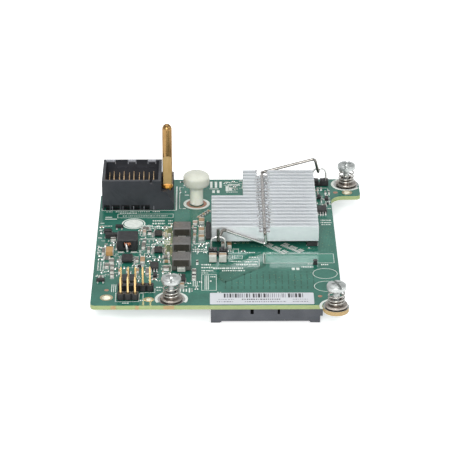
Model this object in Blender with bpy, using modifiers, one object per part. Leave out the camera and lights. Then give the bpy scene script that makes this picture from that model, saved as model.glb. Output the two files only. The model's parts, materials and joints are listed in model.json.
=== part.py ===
"""Mezzanine pass-through card: a green circuit board with an underside board-to-board connector,
an upright blade header with its guide pin, a finned heat sink held by a wire clip, power parts,
two pin headers, a pull knob and three spring-loaded captive screws.

Lengths are metres. X runs along the front edge, Y runs from the front edge to the back, Z is up.
Every piece is placed from the board's front left corner on its top face, through one parent empty
that puts the middle of the card's footprint, at the connector's feet, on the world origin.
"""

import math

import bmesh
import bpy
from mathutils import Matrix, Vector

MM = 0.001

# Shared values
CLEARANCE = 0.3 * MM
CUT_PAST = 1.0 * MM
WELD = 0.01 * MM
ROUND_STEPS = 24
SMALL_ROUND_STEPS = 16

# Circuit board
BOARD_WIDTH = 88.3 * MM
BOARD_DEPTH = 106.0 * MM
BOARD_THICKNESS = 1.6 * MM
BOARD_CORNER = 1.8 * MM
BACK_NOTCH_WIDTH = 2.2 * MM
BACK_NOTCH_LENGTH = 14.7 * MM
FRONT_EAR_RADIUS = 4.55 * MM
REAR_EAR_REACH = 11.5 * MM
REAR_EAR_LENGTH = 15.8 * MM
REAR_EAR_CORNER = 5.0 * MM
REAR_EAR_FILLET = 5.0 * MM
TOOLING_HOLES = (
    # across, back, diameter
    (5.5 * MM, 6.1 * MM, 3.2 * MM),
    (20.4 * MM, 4.6 * MM, 2.8 * MM),
)
EAR_HOLE_DIAMETER = 2.8 * MM
EAR_HOLE_TO_SCREW = 7.6 * MM

# Captive screws, their springs and ferrules
FRONT_LEFT_SCREW = (28.3 * MM, 4.9 * MM)
FRONT_RIGHT_SCREW_INSET = 2.55 * MM
FRONT_RIGHT_SCREW_DROP = 0.9 * MM
FERRULE_FLANGE_RADIUS = 4.0 * MM
FERRULE_FLANGE_THICKNESS = 0.8 * MM
FERRULE_BARREL_RADIUS = 2.2 * MM
FERRULE_TOP = 3.0 * MM
FERRULE_TAIL = 0.6 * MM
SCREW_THREAD_RADIUS = 1.5 * MM
SCREW_NECK_RADIUS = 1.2 * MM
SCREW_BORE_GAP = 0.25 * MM
SCREW_HEAD_RADIUS = 3.5 * MM
SCREW_HEAD_UNDERSIDE = 6.9 * MM
SCREW_HEAD_HEIGHT = 1.9 * MM
SCREW_HEAD_EDGE = 0.9 * MM
SCREW_HEAD_CROWN = 0.3 * MM
SCREW_TIP_CHAMFER = 0.4 * MM
DRIVE_SLOT_WIDTH = 0.9 * MM
DRIVE_SLOT_DEPTH = 0.8 * MM
DRIVE_CROSS_LENGTH = 3.8 * MM
DRIVE_CROSS_DEPTH = 1.2 * MM
SPRING_WIRE = 0.55 * MM
SPRING_INNER_GAP = 0.3 * MM
SPRING_TURNS = 3.5
SPRING_FIRST_ANGLE = 54
SPRING_OPENING = 1.45
SPRING_POINTS_PER_TURN = 12
SLOT_ANGLES = (90, -68, 80)

# Underside connector
CONNECTOR_LEFT = 42.1 * MM
CONNECTOR_FRONT = 1.0 * MM
CONNECTOR_WIDTH = 38.3 * MM
CONNECTOR_DEPTH = 15.0 * MM
CONNECTOR_HEIGHT = 4.9 * MM
CONNECTOR_FOOT_HEIGHT = 0.6 * MM
CONNECTOR_FOOT_WIDTH = 3.3 * MM
CONNECTOR_FOOT_SLOPE = 0.6 * MM
CONNECTOR_LUG_REACH = 0.9 * MM
CONNECTOR_LUG_HEIGHT = 2.9 * MM
CONNECTOR_WALL = 1.5 * MM
CONNECTOR_POCKET_DEPTH = 3.2 * MM
CONNECTOR_SLOT_HEIGHT = 2.1 * MM
CONNECTOR_SLOTS = ((13.9 * MM, 1.1 * MM), (23.4 * MM, 0.8 * MM))
CONTACT_ROWS = 8
CONTACT_ROW_PITCH = 1.27 * MM
CONTACT_RIDGE_WIDTH = 0.6 * MM
CONTACT_RIDGE_HEIGHT = 1.2 * MM
CONTACT_PLATE_THICKNESS = 0.6 * MM

# Upright header
HEADER_LEFT = 1.1 * MM
HEADER_FRONT = 78.0 * MM
HEADER_BOX_WIDTH = 22.4 * MM
HEADER_DEPTH = 20.4 * MM
HEADER_HEIGHT = 11.8 * MM
HEADER_SIDE_WALL = 1.1 * MM
HEADER_FRONT_WALL = 1.4 * MM
HEADER_FLOOR_BOTTOM = 2.0 * MM
HEADER_FLOOR_THICKNESS = 1.2 * MM
HEADER_POLARISING_SLOT = (18.1 * MM, 0.9 * MM, 1.2 * MM)
HEADER_LEAD_INS = ((4.6 * MM, 4.4 * MM), (12.3 * MM, 4.4 * MM), (17.8 * MM, 1.6 * MM))
HEADER_LEAD_IN_RECESS = 0.7 * MM
HEADER_LEAD_IN_HEIGHT = 3.0 * MM
BLADE_COLUMNS = 10
BLADE_PITCH = 1.9 * MM
BLADE_FIRST = 2.1 * MM
BLADE_THICKNESS = 0.4 * MM
BLADE_TIP_HEIGHT = 8.2 * MM
BLADE_TEETH_COUNT = 7
BLADE_TOOTH_WIDTH = 0.9 * MM
BLADE_FRONT_GAP = 2.5 * MM
BLADE_REAR_GAP = 1.0 * MM
GROUND_TIP_DROP = 0.5 * MM
GROUND_FLANGE_REACH = 0.35 * MM
GROUND_FLANGE_HEIGHT = 1.6 * MM
WINDOW_PITCH = 2 * BLADE_PITCH
WINDOW_RIB = 0.6 * MM
WINDOW_COUNT = 5
END_BLOCK_WIDTH = 4.7 * MM
END_BLOCK_DEPTH = 7.6 * MM
END_BLOCK_HEIGHT = 7.6 * MM
END_BLOCK_CHAMFER = (3.2 * MM, 6.0 * MM, 5.2 * MM)
END_POST_THICKNESS = 1.5 * MM

# Guide pin
GUIDE_PIN_RADIUS = 1.85 * MM
GUIDE_PIN_LENGTH = 26.0 * MM
GUIDE_PIN_TIP = 2.2 * MM
GUIDE_PIN_COLLAR_RADIUS = 2.05 * MM
GUIDE_PIN_COLLAR_HEIGHT = 0.8 * MM
GUIDE_PIN_STEM_RADIUS = 1.3 * MM
GUIDE_PIN_STEM_LENGTH = 3.4 * MM
GUIDE_PIN_FLAT_HEIGHT = 13.4 * MM
GUIDE_PIN_FLAT_OFFSET = 1.0 * MM

# Pull knob
KNOB_PLACE = (36.8 * MM, 83.6 * MM)
KNOB_HEAD_RADIUS = 5.0 * MM
KNOB_POST_RADIUS = 2.5 * MM
KNOB_NECK = 7.1 * MM
KNOB_HEAD_UNDERSIDE = 8.1 * MM
KNOB_HEAD_HEIGHT = 5.3 * MM
KNOB_RIM_HEIGHT = 3.1 * MM
KNOB_STEM_RADIUS = 1.6 * MM
KNOB_STEM_TAIL = 1.6 * MM

# Processor and heat sink
HEAT_SINK_LEFT = 42.5 * MM
HEAT_SINK_FRONT = 45.9 * MM
HEAT_SINK_WIDTH = 39.2 * MM
HEAT_SINK_DEPTH = 50.4 * MM
HEAT_SINK_HEIGHT = 6.2 * MM
HEAT_SINK_BASE = 1.5 * MM
HEAT_SINK_NOTCH_WIDTH = 12.0 * MM
HEAT_SINK_NOTCH_FINS = 8
HEAT_SINK_STEP_HEIGHT = 1.2 * MM
HEAT_SINK_STEP_DEPTH = 0.5 * MM
FIN_COUNT = 18
FIN_THICKNESS = 1.0 * MM
FIN_PITCH = (HEAT_SINK_DEPTH - FIN_THICKNESS) / (FIN_COUNT - 1)
HEAT_SINK_NOTCH_LENGTH = HEAT_SINK_NOTCH_FINS * FIN_PITCH - 0.1 * MM
CLIP_CHANNEL_OFFSET = 19.4 * MM
CLIP_CHANNEL_WIDTH = 4.0 * MM
CLIP_CHANNEL_DEPTH = 2.3 * MM
PROCESSOR_SIDE = 31.0 * MM
PROCESSOR_HEIGHT = 1.9 * MM
PROCESSOR_LID_INSET = 3.0 * MM
PROCESSOR_LID_HEIGHT = 0.7 * MM

# Clip wire and its anchors
CLIP_WIRE = 1.1 * MM
CLIP_BEND = 0.9 * MM
ANCHOR_WIDTH = 7.1 * MM
ANCHOR_DEPTH = 2.9 * MM
ANCHOR_HEIGHT = 2.1 * MM
ANCHOR_WIRE = 0.75 * MM
ANCHOR_LOOP_WIDTH = 5.1 * MM
ANCHOR_LOOP_TOP = 7.5 * MM
ANCHOR_LOOP_BURIED = 1.4 * MM
FRONT_ANCHOR_OFFSET = (2.35 * MM, 6.1 * MM)
REAR_ANCHOR_OFFSET = (2.6 * MM, 4.1 * MM)
CLIP_FRONT_LOW = 1.7 * MM
CLIP_FRONT_HIGH = 7.7 * MM
CLIP_REAR_HIGH = 12.6 * MM
CLIP_HOOK_TIP = 10.9 * MM

# Ferrite inductors
FERRITE_LEFT = 28.2 * MM
FERRITE_FRONT = 26.0 * MM
FERRITE_PITCH = 12.7 * MM
FERRITE_COUNT = 3
FERRITE_WIDTH = 6.7 * MM
FERRITE_DEPTH = 6.6 * MM
FERRITE_HEIGHT = 4.6 * MM
FERRITE_EDGE = 0.35 * MM
STRAP_WIDTH = 2.9 * MM
STRAP_THICKNESS = 0.4 * MM
STRAP_HEIGHT = 1.9 * MM

# Power inductor
POWER_INDUCTOR_PLACE = (7.9 * MM, 42.4 * MM)
POWER_INDUCTOR_SIDE = 7.6 * MM
POWER_INDUCTOR_HEIGHT = 4.7 * MM
POWER_WINDOW_WIDTH = 2.9 * MM
POWER_WINDOW_HEIGHT = 2.3 * MM
POWER_WINDOW_SILL = 1.2 * MM
POWER_WINDING_TURNS = 6
POWER_WIRE = 0.9 * MM

# Pin headers
PIN_PITCH = 2.54 * MM
PIN_SIDE = 0.64 * MM
PIN_TIP_SIDE = 0.34 * MM
PIN_TIP_LENGTH = 0.6 * MM
PIN_BASE_HEIGHT = 2.3 * MM
PIN_BASE_CORNER = 0.45 * MM
PIN_HEADER_LEFT = 9.3 * MM
PIN_COUNT = {"front": 3, "rear": 5}
PIN_ROWS = {
    # name: front edge, height of the pins' tips
    "front": (3.5 * MM, 8.9 * MM),
    "rear": (10.0 * MM, 9.5 * MM),
}

# Small board parts: left, front, width, depth, height
CAPACITOR_SIZE = (2.6 * MM, 3.2 * MM, 2.4 * MM)
CAPACITOR_PLACES = {
    "front_left_capacitor": (41.6 * MM, 32.9 * MM),
    "front_right_capacitor": (45.2 * MM, 32.9 * MM),
}
TANTALUM_PLACE = (3.8 * MM, 38.3 * MM)
TANTALUM_SIZE = (2.9 * MM, 4.3 * MM, 1.9 * MM)
TERMINAL_LENGTH = 0.6 * MM
TERMINAL_PROUD = 0.06 * MM
LEAD_THICKNESS = 0.18 * MM
LEAD_WIDTH = 0.42 * MM
LEAD_REACH = 0.8 * MM
LEAD_COUNT = {
    # leads a side
    "power_switch_chip": 4,
    "controller_chip": 5,
    "memory_chip": 4,
    "driver_chip": 4,
    "regulator_chip": 3,
    "header_side_chip": 3,
}
CHIPS = {
    # name: left, front, width, depth, height
    "power_switch_chip": (
        HEAT_SINK_LEFT + HEAT_SINK_WIDTH + 0.5 * MM, 73.9 * MM, 3.9 * MM, 4.4 * MM, 1.5 * MM
    ),
    "controller_chip": (21.5 * MM, 40.4 * MM, 3.0 * MM, 3.9 * MM, 1.1 * MM),
    "memory_chip": (21.4 * MM, 54.3 * MM, 2.8 * MM, 3.8 * MM, 1.1 * MM),
    "driver_chip": (9.9 * MM, 32.6 * MM, 4.0 * MM, 4.8 * MM, 1.5 * MM),
    "regulator_chip": (20.3 * MM, 26.6 * MM, 3.0 * MM, 4.9 * MM, 1.3 * MM),
    "header_side_chip": (10.3 * MM, 14.6 * MM, 4.9 * MM, 5.4 * MM, 2.0 * MM),
}

# Worked out from the sizes above
CARD_RIGHT = BOARD_WIDTH + REAR_EAR_REACH
CARD_FRONT = -FRONT_RIGHT_SCREW_DROP - FRONT_EAR_RADIUS
BOARD_TOP = BOARD_THICKNESS + CLEARANCE + CONNECTOR_HEIGHT + CONNECTOR_FOOT_HEIGHT
REAR_EAR_FRONT = BOARD_DEPTH - REAR_EAR_LENGTH
SCREW_PLACES = {
    "front_left": FRONT_LEFT_SCREW,
    "front_right": (BOARD_WIDTH - FRONT_RIGHT_SCREW_INSET, -FRONT_RIGHT_SCREW_DROP),
    "rear_right": (CARD_RIGHT - REAR_EAR_CORNER, BOARD_DEPTH - REAR_EAR_CORNER),
}
HEAT_SINK_BOTTOM = PROCESSOR_HEIGHT + CLEARANCE
HEAT_SINK_TOP = HEAT_SINK_BOTTOM + HEAT_SINK_HEIGHT
HEAT_SINK_RIGHT = HEAT_SINK_LEFT + HEAT_SINK_WIDTH
HEAT_SINK_BACK = HEAT_SINK_FRONT + HEAT_SINK_DEPTH
CLIP_CHANNEL_FLOOR = HEAT_SINK_TOP - CLIP_CHANNEL_DEPTH
FRONT_ANCHOR = (HEAT_SINK_LEFT + FRONT_ANCHOR_OFFSET[0], HEAT_SINK_FRONT - FRONT_ANCHOR_OFFSET[1])
REAR_ANCHOR = (HEAT_SINK_RIGHT + REAR_ANCHOR_OFFSET[0], HEAT_SINK_BACK + REAR_ANCHOR_OFFSET[1])


def clear_scene():
    """Removes what the scene holds."""
    for obj in list(bpy.data.objects):
        bpy.data.objects.remove(obj, do_unlink=True)


def new_collection(name):
    found = bpy.data.collections.new(name)
    bpy.context.scene.collection.children.link(found)
    return found


clear_scene()
PARTS = new_collection("mezzanine_pass_through_card")
CUTTERS = new_collection("cutters")


def add_card_frame():
    """The empty that every piece hangs on: the board's front left corner, on its top face."""
    frame = bpy.data.objects.new("card_frame", None)
    frame.location = (-CARD_RIGHT / 2, -(BOARD_DEPTH + CARD_FRONT) / 2, BOARD_TOP)
    PARTS.objects.link(frame)
    return frame


CARD = add_card_frame()


def add_material(name, color, roughness, metallic=0.0):
    material = bpy.data.materials.new(name)
    material.use_nodes = True
    shader = material.node_tree.nodes["Principled BSDF"]
    shader.inputs["Base Color"].default_value = (*color, 1.0)
    shader.inputs["Roughness"].default_value = roughness
    shader.inputs["Metallic"].default_value = metallic
    return material


SOLDER_MASK = add_material("solder_mask", (0.03, 0.16, 0.10), 0.45)
CONNECTOR_PLASTIC = add_material("connector_plastic", (0.09, 0.10, 0.11), 0.55)
HEADER_PLASTIC = add_material("header_plastic", (0.045, 0.05, 0.058), 0.5)
PIN_PLASTIC = add_material("pin_header_plastic", (0.02, 0.02, 0.022), 0.45)
CONTACT_GOLD = add_material("contact_gold", (0.83, 0.63, 0.30), 0.28, 1.0)
GUIDE_GOLD = add_material("guide_pin_gold", (0.72, 0.50, 0.20), 0.32, 1.0)
NYLON = add_material("natural_nylon", (0.74, 0.76, 0.70), 0.4)
ALUMINIUM = add_material("satin_aluminium", (0.72, 0.74, 0.76), 0.35, 1.0)
CHIP_BLACK = add_material("chip_black", (0.03, 0.03, 0.033), 0.5)
STEEL = add_material("nickel_steel", (0.70, 0.70, 0.69), 0.28, 1.0)
SPRING_STEEL = add_material("spring_steel", (0.58, 0.57, 0.55), 0.3, 1.0)
FERRITE = add_material("ferrite", (0.17, 0.16, 0.15), 0.6)
TINNED_COPPER = add_material("tinned_copper", (0.78, 0.78, 0.76), 0.3, 1.0)
COPPER = add_material("enamelled_copper", (0.62, 0.30, 0.14), 0.35, 1.0)
CERAMIC = add_material("capacitor_ceramic", (0.62, 0.52, 0.38), 0.5)
TANTALUM_TAN = add_material("tantalum_tan", (0.70, 0.58, 0.34), 0.5)


def add_object(name, data, material, place=(0, 0, 0)):
    """A visible piece, placed from the board's corner."""
    obj = bpy.data.objects.new(name, data)
    obj.parent = CARD
    obj.location = place
    PARTS.objects.link(obj)
    if material and not data.materials:
        data.materials.append(material)
    return obj


def make_helper(obj):
    """Moves an object to the cutters, where it shapes others and isn't part of the card."""
    for home in list(obj.users_collection):
        home.objects.unlink(obj)
    CUTTERS.objects.link(obj)
    obj.hide_render = True
    obj.display_type = "WIRE"
    return obj


def combine(target, other, operation):
    """Adds a Boolean of another object to a piece."""
    modifier = target.modifiers.new(other.name, "BOOLEAN")
    modifier.operation = operation
    modifier.object = other
    return target


def cut(target, cutter):
    return combine(target, make_helper(cutter), "DIFFERENCE")


def unite(target, other):
    return combine(target, make_helper(other), "UNION")


def add_block(name, low, high, material=None, edge=0.0):
    """A box between two corners, its edges rounded where edge is given."""
    low, high = Vector(low), Vector(high)
    mesh = bpy.data.meshes.new(name)
    shape = bmesh.new()
    size = high - low
    bmesh.ops.create_cube(shape, size=1.0, matrix=Matrix.Diagonal((*size, 1.0)))
    shape.to_mesh(mesh)
    shape.free()
    obj = add_object(name, mesh, material, (low + high) / 2)
    if edge:
        bevel = obj.modifiers.new("edges", "BEVEL")
        bevel.width = edge
        bevel.segments = 1
        bevel.harden_normals = False
    return obj


def add_rod(name, radius, low, high, place, material=None, steps=ROUND_STEPS):
    """An upright cylinder from height low to height high."""
    mesh = bpy.data.meshes.new(name)
    shape = bmesh.new()
    bmesh.ops.create_cone(
        shape, cap_ends=True, segments=steps, radius1=radius, radius2=radius, depth=high - low
    )
    shape.to_mesh(mesh)
    shape.free()
    return add_object(name, mesh, material, (place[0], place[1], (low + high) / 2))


def add_turned(name, profile, place, material, steps=ROUND_STEPS, ring=False):
    """A turned piece: profile is (radius, height) down the outer side, and a ring's then comes back up."""
    mesh = bpy.data.meshes.new(name)
    points = [(radius, 0.0, height) for radius, height in profile]
    edges = [(i, i + 1) for i in range(len(points) - 1)]
    if ring:
        edges.append((len(points) - 1, 0))
    mesh.from_pydata(points, edges, [])
    obj = add_object(name, mesh, material, place)
    screw = obj.modifiers.new("turn", "SCREW")
    screw.axis = "Z"
    screw.steps = steps
    screw.render_steps = steps
    screw.use_merge_vertices = True
    screw.merge_threshold = WELD
    screw.use_smooth_shade = True
    return obj


def arc(centre, radius, start, end, steps):
    """Points along an arc, its angles in degrees."""
    angles = [math.radians(start + (end - start) * i / steps) for i in range(steps + 1)]
    return [(centre[0] + radius * math.cos(a), centre[1] + radius * math.sin(a)) for a in angles]


def circle(centre, radius, steps=ROUND_STEPS):
    return arc(centre, radius, 0, 360, steps)[:-1]


def rectangle(low, high):
    return [(low[0], low[1]), (high[0], low[1]), (high[0], high[1]), (low[0], high[1])]


# How a flat outline's own X, Y and Z lie on the card
FLAT = Matrix.Identity(4)
FACING_FRONT = Matrix(((1, 0, 0, 0), (0, 0, -1, 0), (0, 1, 0, 0), (0, 0, 0, 1)))
FACING_SIDE = Matrix(((0, 0, 1, 0), (1, 0, 0, 0), (0, 1, 0, 0), (0, 0, 0, 1)))


def add_outline(name, loops, thickness, material, place=(0, 0, 0), turn=FLAT):
    """A flat outline, with any holes as further loops, extruded evenly to both sides."""
    curve = bpy.data.curves.new(name, "CURVE")
    curve.dimensions = "2D"
    curve.fill_mode = "BOTH"
    curve.extrude = thickness / 2
    for loop in loops:
        spline = curve.splines.new("POLY")
        spline.points.add(len(loop) - 1)
        spline.use_cyclic_u = True
        for point, (x, y) in zip(spline.points, loop):
            point.co = (x, y, 0.0, 1.0)
    obj = add_object(name, curve, material)
    obj.matrix_local = Matrix.Translation(place) @ turn
    return obj


def to_solid(curve_object):
    """The same piece as a welded mesh, which Booleans can use."""
    bpy.context.view_layer.update()
    graph = bpy.context.evaluated_depsgraph_get()
    mesh = bpy.data.meshes.new_from_object(curve_object.evaluated_get(graph))
    shape = bmesh.new()
    shape.from_mesh(mesh)
    bmesh.ops.remove_doubles(shape, verts=shape.verts, dist=WELD)
    bmesh.ops.recalc_face_normals(shape, faces=shape.faces)
    shape.to_mesh(mesh)
    shape.free()
    name = curve_object.name
    local = curve_object.matrix_local.copy()
    bpy.data.objects.remove(curve_object, do_unlink=True)
    solid = add_object(name, mesh, None)
    solid.matrix_local = local
    return solid


def add_wire(name, points, diameter, material, place=(0, 0, 0)):
    """A round wire through points."""
    curve = bpy.data.curves.new(name, "CURVE")
    curve.dimensions = "3D"
    curve.bevel_depth = diameter / 2
    curve.bevel_resolution = 2
    curve.use_fill_caps = True
    spline = curve.splines.new("POLY")
    spline.points.add(len(points) - 1)
    for point, co in zip(spline.points, points):
        point.co = (*co, 1.0)
    return add_object(name, curve, material, place)


def bend_path(corners, radius, steps=4):
    """A wire's path through corners, each turned on the given radius."""
    corners = [Vector(corner) for corner in corners]
    path = [corners[0]]
    for before, corner, after in zip(corners, corners[1:], corners[2:]):
        into = (corner - before).normalized()
        out = (after - corner).normalized()
        turn = into.angle(out)
        axis = into.cross(out).normalized()
        start = corner - into * radius * math.tan(turn / 2)
        centre = start + axis.cross(into) * radius
        for i in range(steps + 1):
            path.append(centre + Matrix.Rotation(turn * i / steps, 3, axis) @ (start - centre))
    path.append(corners[-1])
    return path


def board_outline():
    """The board's edge, anticlockwise from its front left corner."""
    ear_centre = SCREW_PLACES["front_right"]
    ear_left = 180 - math.degrees(math.asin(FRONT_RIGHT_SCREW_DROP / FRONT_EAR_RADIUS))
    ear_right = 360 + math.degrees(math.acos(FRONT_RIGHT_SCREW_INSET / FRONT_EAR_RADIUS))
    corner = BOARD_CORNER
    fillet_centre = (BOARD_WIDTH + REAR_EAR_FILLET, REAR_EAR_FRONT - REAR_EAR_FILLET)
    rear_corner_centre = SCREW_PLACES["rear_right"]
    notch_front = BOARD_DEPTH - BACK_NOTCH_LENGTH
    return (
        arc((corner, corner), corner, 180, 270, 5)
        + arc(ear_centre, FRONT_EAR_RADIUS, ear_left, ear_right, 22)
        + arc(fillet_centre, REAR_EAR_FILLET, 180, 90, 8)
        + arc((CARD_RIGHT - corner, REAR_EAR_FRONT + corner), corner, 270, 360, 5)
        + arc(rear_corner_centre, REAR_EAR_CORNER, 0, 90, 8)
        + arc((BACK_NOTCH_WIDTH + corner, BOARD_DEPTH - corner), corner, 90, 180, 5)
        + [(BACK_NOTCH_WIDTH, notch_front), (0.0, notch_front)]
    )


def add_board():
    """The bare board: one fibre-glass plate with its ears, notch and holes."""
    ferrule_hole = FERRULE_BARREL_RADIUS + CLEARANCE
    ear_hole = (SCREW_PLACES["rear_right"][0], SCREW_PLACES["rear_right"][1] - EAR_HOLE_TO_SCREW)
    loops = [board_outline()]
    loops += [circle(place, ferrule_hole) for place in SCREW_PLACES.values()]
    loops += [circle((x, y), diameter / 2, SMALL_ROUND_STEPS) for x, y, diameter in TOOLING_HOLES]
    loops.append(circle(ear_hole, EAR_HOLE_DIAMETER / 2, SMALL_ROUND_STEPS))
    loops.append(circle(KNOB_PLACE, KNOB_STEM_RADIUS + CLEARANCE, SMALL_ROUND_STEPS))
    place = (0, 0, -BOARD_THICKNESS / 2)
    return add_outline("circuit_board", loops, BOARD_THICKNESS, SOLDER_MASK, place)


def add_connector():
    """The board-to-board connector under the front edge: a housing on two feet, and its contact rows."""
    top = -BOARD_THICKNESS - CLEARANCE
    width, foot, slope = CONNECTOR_WIDTH, CONNECTOR_FOOT_WIDTH, CONNECTOR_FOOT_SLOPE
    bottom, floor = -CONNECTOR_HEIGHT, -CONNECTOR_HEIGHT - CONNECTOR_FOOT_HEIGHT
    profile = [
        (0, 0),
        (0, floor),
        (foot, floor),
        (foot + slope, bottom),
        (width - foot - slope, bottom),
        (width - foot, floor),
        (width, floor),
        (width, -CONNECTOR_LUG_HEIGHT),
        (width + CONNECTOR_LUG_REACH, -CONNECTOR_LUG_HEIGHT),
        (width + CONNECTOR_LUG_REACH, 0),
    ]
    middle = CONNECTOR_FRONT + CONNECTOR_DEPTH / 2
    place = (CONNECTOR_LEFT, middle, top)
    housing = add_outline(
        "mezzanine_connector", [profile], CONNECTOR_DEPTH, CONNECTOR_PLASTIC, place, FACING_FRONT
    )
    housing = to_solid(housing)
    ceiling = top + bottom + CONNECTOR_POCKET_DEPTH
    left = CONNECTOR_LEFT + foot + slope
    right = CONNECTOR_LEFT + width - foot - slope
    front = CONNECTOR_FRONT + CONNECTOR_WALL
    back = CONNECTOR_FRONT + CONNECTOR_DEPTH - CONNECTOR_WALL
    pocket = add_block("connector_pocket", (left, front, top + floor - CUT_PAST), (right, back, ceiling))
    cut(housing, pocket)
    for number, (across, slot_width) in enumerate(CONNECTOR_SLOTS, 1):
        slot_left = CONNECTOR_LEFT + across
        low = (slot_left, CONNECTOR_FRONT - CUT_PAST, top - CONNECTOR_SLOT_HEIGHT)
        high = (slot_left + slot_width, CONNECTOR_FRONT + CONNECTOR_WALL / 2, top + CUT_PAST)
        cut(housing, add_block(f"connector_slot_{number}", low, high))
    add_contact_rows(left + CLEARANCE, right - CLEARANCE, front, back, ceiling - CLEARANCE)


def add_contact_rows(left, right, front, back, top):
    """The contact field in the connector's pocket: a thin carrier with one ridge for each row."""
    plate_bottom = top - CONTACT_PLATE_THICKNESS
    profile = [(front + CLEARANCE, top), (front + CLEARANCE, plate_bottom)]
    first = (front + back - (CONTACT_ROWS - 1) * CONTACT_ROW_PITCH - CONTACT_RIDGE_WIDTH) / 2
    for row in range(CONTACT_ROWS):
        near = first + row * CONTACT_ROW_PITCH
        far = near + CONTACT_RIDGE_WIDTH
        tip = plate_bottom - CONTACT_RIDGE_HEIGHT
        profile += [(near, plate_bottom), (near, tip), (far, tip), (far, plate_bottom)]
    profile += [(back - CLEARANCE, plate_bottom), (back - CLEARANCE, top)]
    place = ((left + right) / 2, 0, 0)
    add_outline("mezzanine_contacts", [profile], right - left, CONTACT_GOLD, place, FACING_SIDE)


def add_end_block():
    """The step beside the header box that carries the guide pin, its outer corner cut away on a slant."""
    left = HEADER_LEFT + HEADER_BOX_WIDTH
    right = left + END_BLOCK_WIDTH
    top = CLEARANCE + END_BLOCK_HEIGHT
    low = (left - HEADER_SIDE_WALL / 2, HEADER_FRONT, CLEARANCE)
    block = add_block("header_end_block", low, (right, HEADER_FRONT + END_BLOCK_DEPTH, top))
    across, back, down = END_BLOCK_CHAMFER
    corner = Vector((right, HEADER_FRONT, top))
    facing = Vector((1 / across, -1 / back, 1 / down)).normalized()
    on_plane = corner - Vector((across, 0, 0))
    reach = END_BLOCK_WIDTH + END_BLOCK_DEPTH
    mesh = bpy.data.meshes.new("header_chamfer")
    shape = bmesh.new()
    bmesh.ops.create_cube(shape, size=2 * reach)
    shape.to_mesh(mesh)
    shape.free()
    chamfer = add_object("header_chamfer", mesh, None)
    turn = facing.to_track_quat("Z", "Y").to_matrix().to_4x4()
    chamfer.matrix_local = Matrix.Translation(on_plane + facing * reach) @ turn
    return cut(block, chamfer)


def add_header():
    """The upright header's moulded shroud: an open box with windows at its foot and a step for the guide pin."""
    left, front = HEADER_LEFT, HEADER_FRONT
    right, back = left + HEADER_BOX_WIDTH, front + HEADER_DEPTH
    top = CLEARANCE + HEADER_HEIGHT
    shroud = add_block("header_shroud", (left, front, CLEARANCE), (right, back, top), HEADER_PLASTIC)
    unite(shroud, add_end_block())
    post_front = front + END_BLOCK_DEPTH - CLEARANCE
    post_low = (right - HEADER_SIDE_WALL / 2, post_front, CLEARANCE)
    post_high = (right + END_BLOCK_WIDTH, post_front + END_POST_THICKNESS, top)
    unite(shroud, add_block("header_end_post", post_low, post_high))

    inner_left, inner_right = left + HEADER_SIDE_WALL, right - HEADER_SIDE_WALL
    inner_front, inner_back = front + HEADER_FRONT_WALL, back - HEADER_FRONT_WALL
    floor_bottom = CLEARANCE + HEADER_FLOOR_BOTTOM
    floor_top = floor_bottom + HEADER_FLOOR_THICKNESS
    cavity = add_block(
        "header_cavity", (inner_left, inner_front, floor_top), (inner_right, inner_back, top + CUT_PAST)
    )
    cut(shroud, cavity)
    underside = add_block(
        "header_underside", (inner_left, inner_front, -CUT_PAST), (inner_right, inner_back, floor_bottom)
    )
    cut(shroud, underside)
    for number in range(WINDOW_COUNT):
        middle = left + BLADE_FIRST - BLADE_PITCH / 2 + number * WINDOW_PITCH
        low_x = max(middle - (WINDOW_PITCH - WINDOW_RIB) / 2, left + WINDOW_RIB)
        high_x = middle + (WINDOW_PITCH - WINDOW_RIB) / 2
        low = (low_x, front - CUT_PAST, -CUT_PAST)
        high = (high_x, inner_front + CUT_PAST / 2, floor_bottom - WINDOW_RIB / 4)
        cut(shroud, add_block(f"header_window_{number + 1}", low, high))
    slot_across, slot_width, slot_depth = HEADER_POLARISING_SLOT
    low = (left + slot_across, front - CUT_PAST, top - slot_depth)
    high = (left + slot_across + slot_width, inner_front + CUT_PAST / 2, top + CUT_PAST)
    cut(shroud, add_block("header_polarising_slot", low, high))
    for number, (across, width) in enumerate(HEADER_LEAD_INS, 1):
        low = (left + across, inner_back - CUT_PAST, top - HEADER_LEAD_IN_HEIGHT)
        high = (left + across + width, inner_back + HEADER_LEAD_IN_RECESS, top + CUT_PAST)
        cut(shroud, add_block(f"header_lead_in_{number}", low, high))
    stem_bore = add_rod(
        "guide_pin_bore",
        GUIDE_PIN_STEM_RADIUS + CLEARANCE,
        CLEARANCE + END_BLOCK_HEIGHT - GUIDE_PIN_STEM_LENGTH - CLEARANCE,
        CLEARANCE + END_BLOCK_HEIGHT + CUT_PAST,
        guide_pin_place(),
        steps=SMALL_ROUND_STEPS,
    )
    cut(shroud, stem_bore)
    add_blades(shroud, (floor_bottom, floor_top), (inner_front, inner_back))


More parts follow.
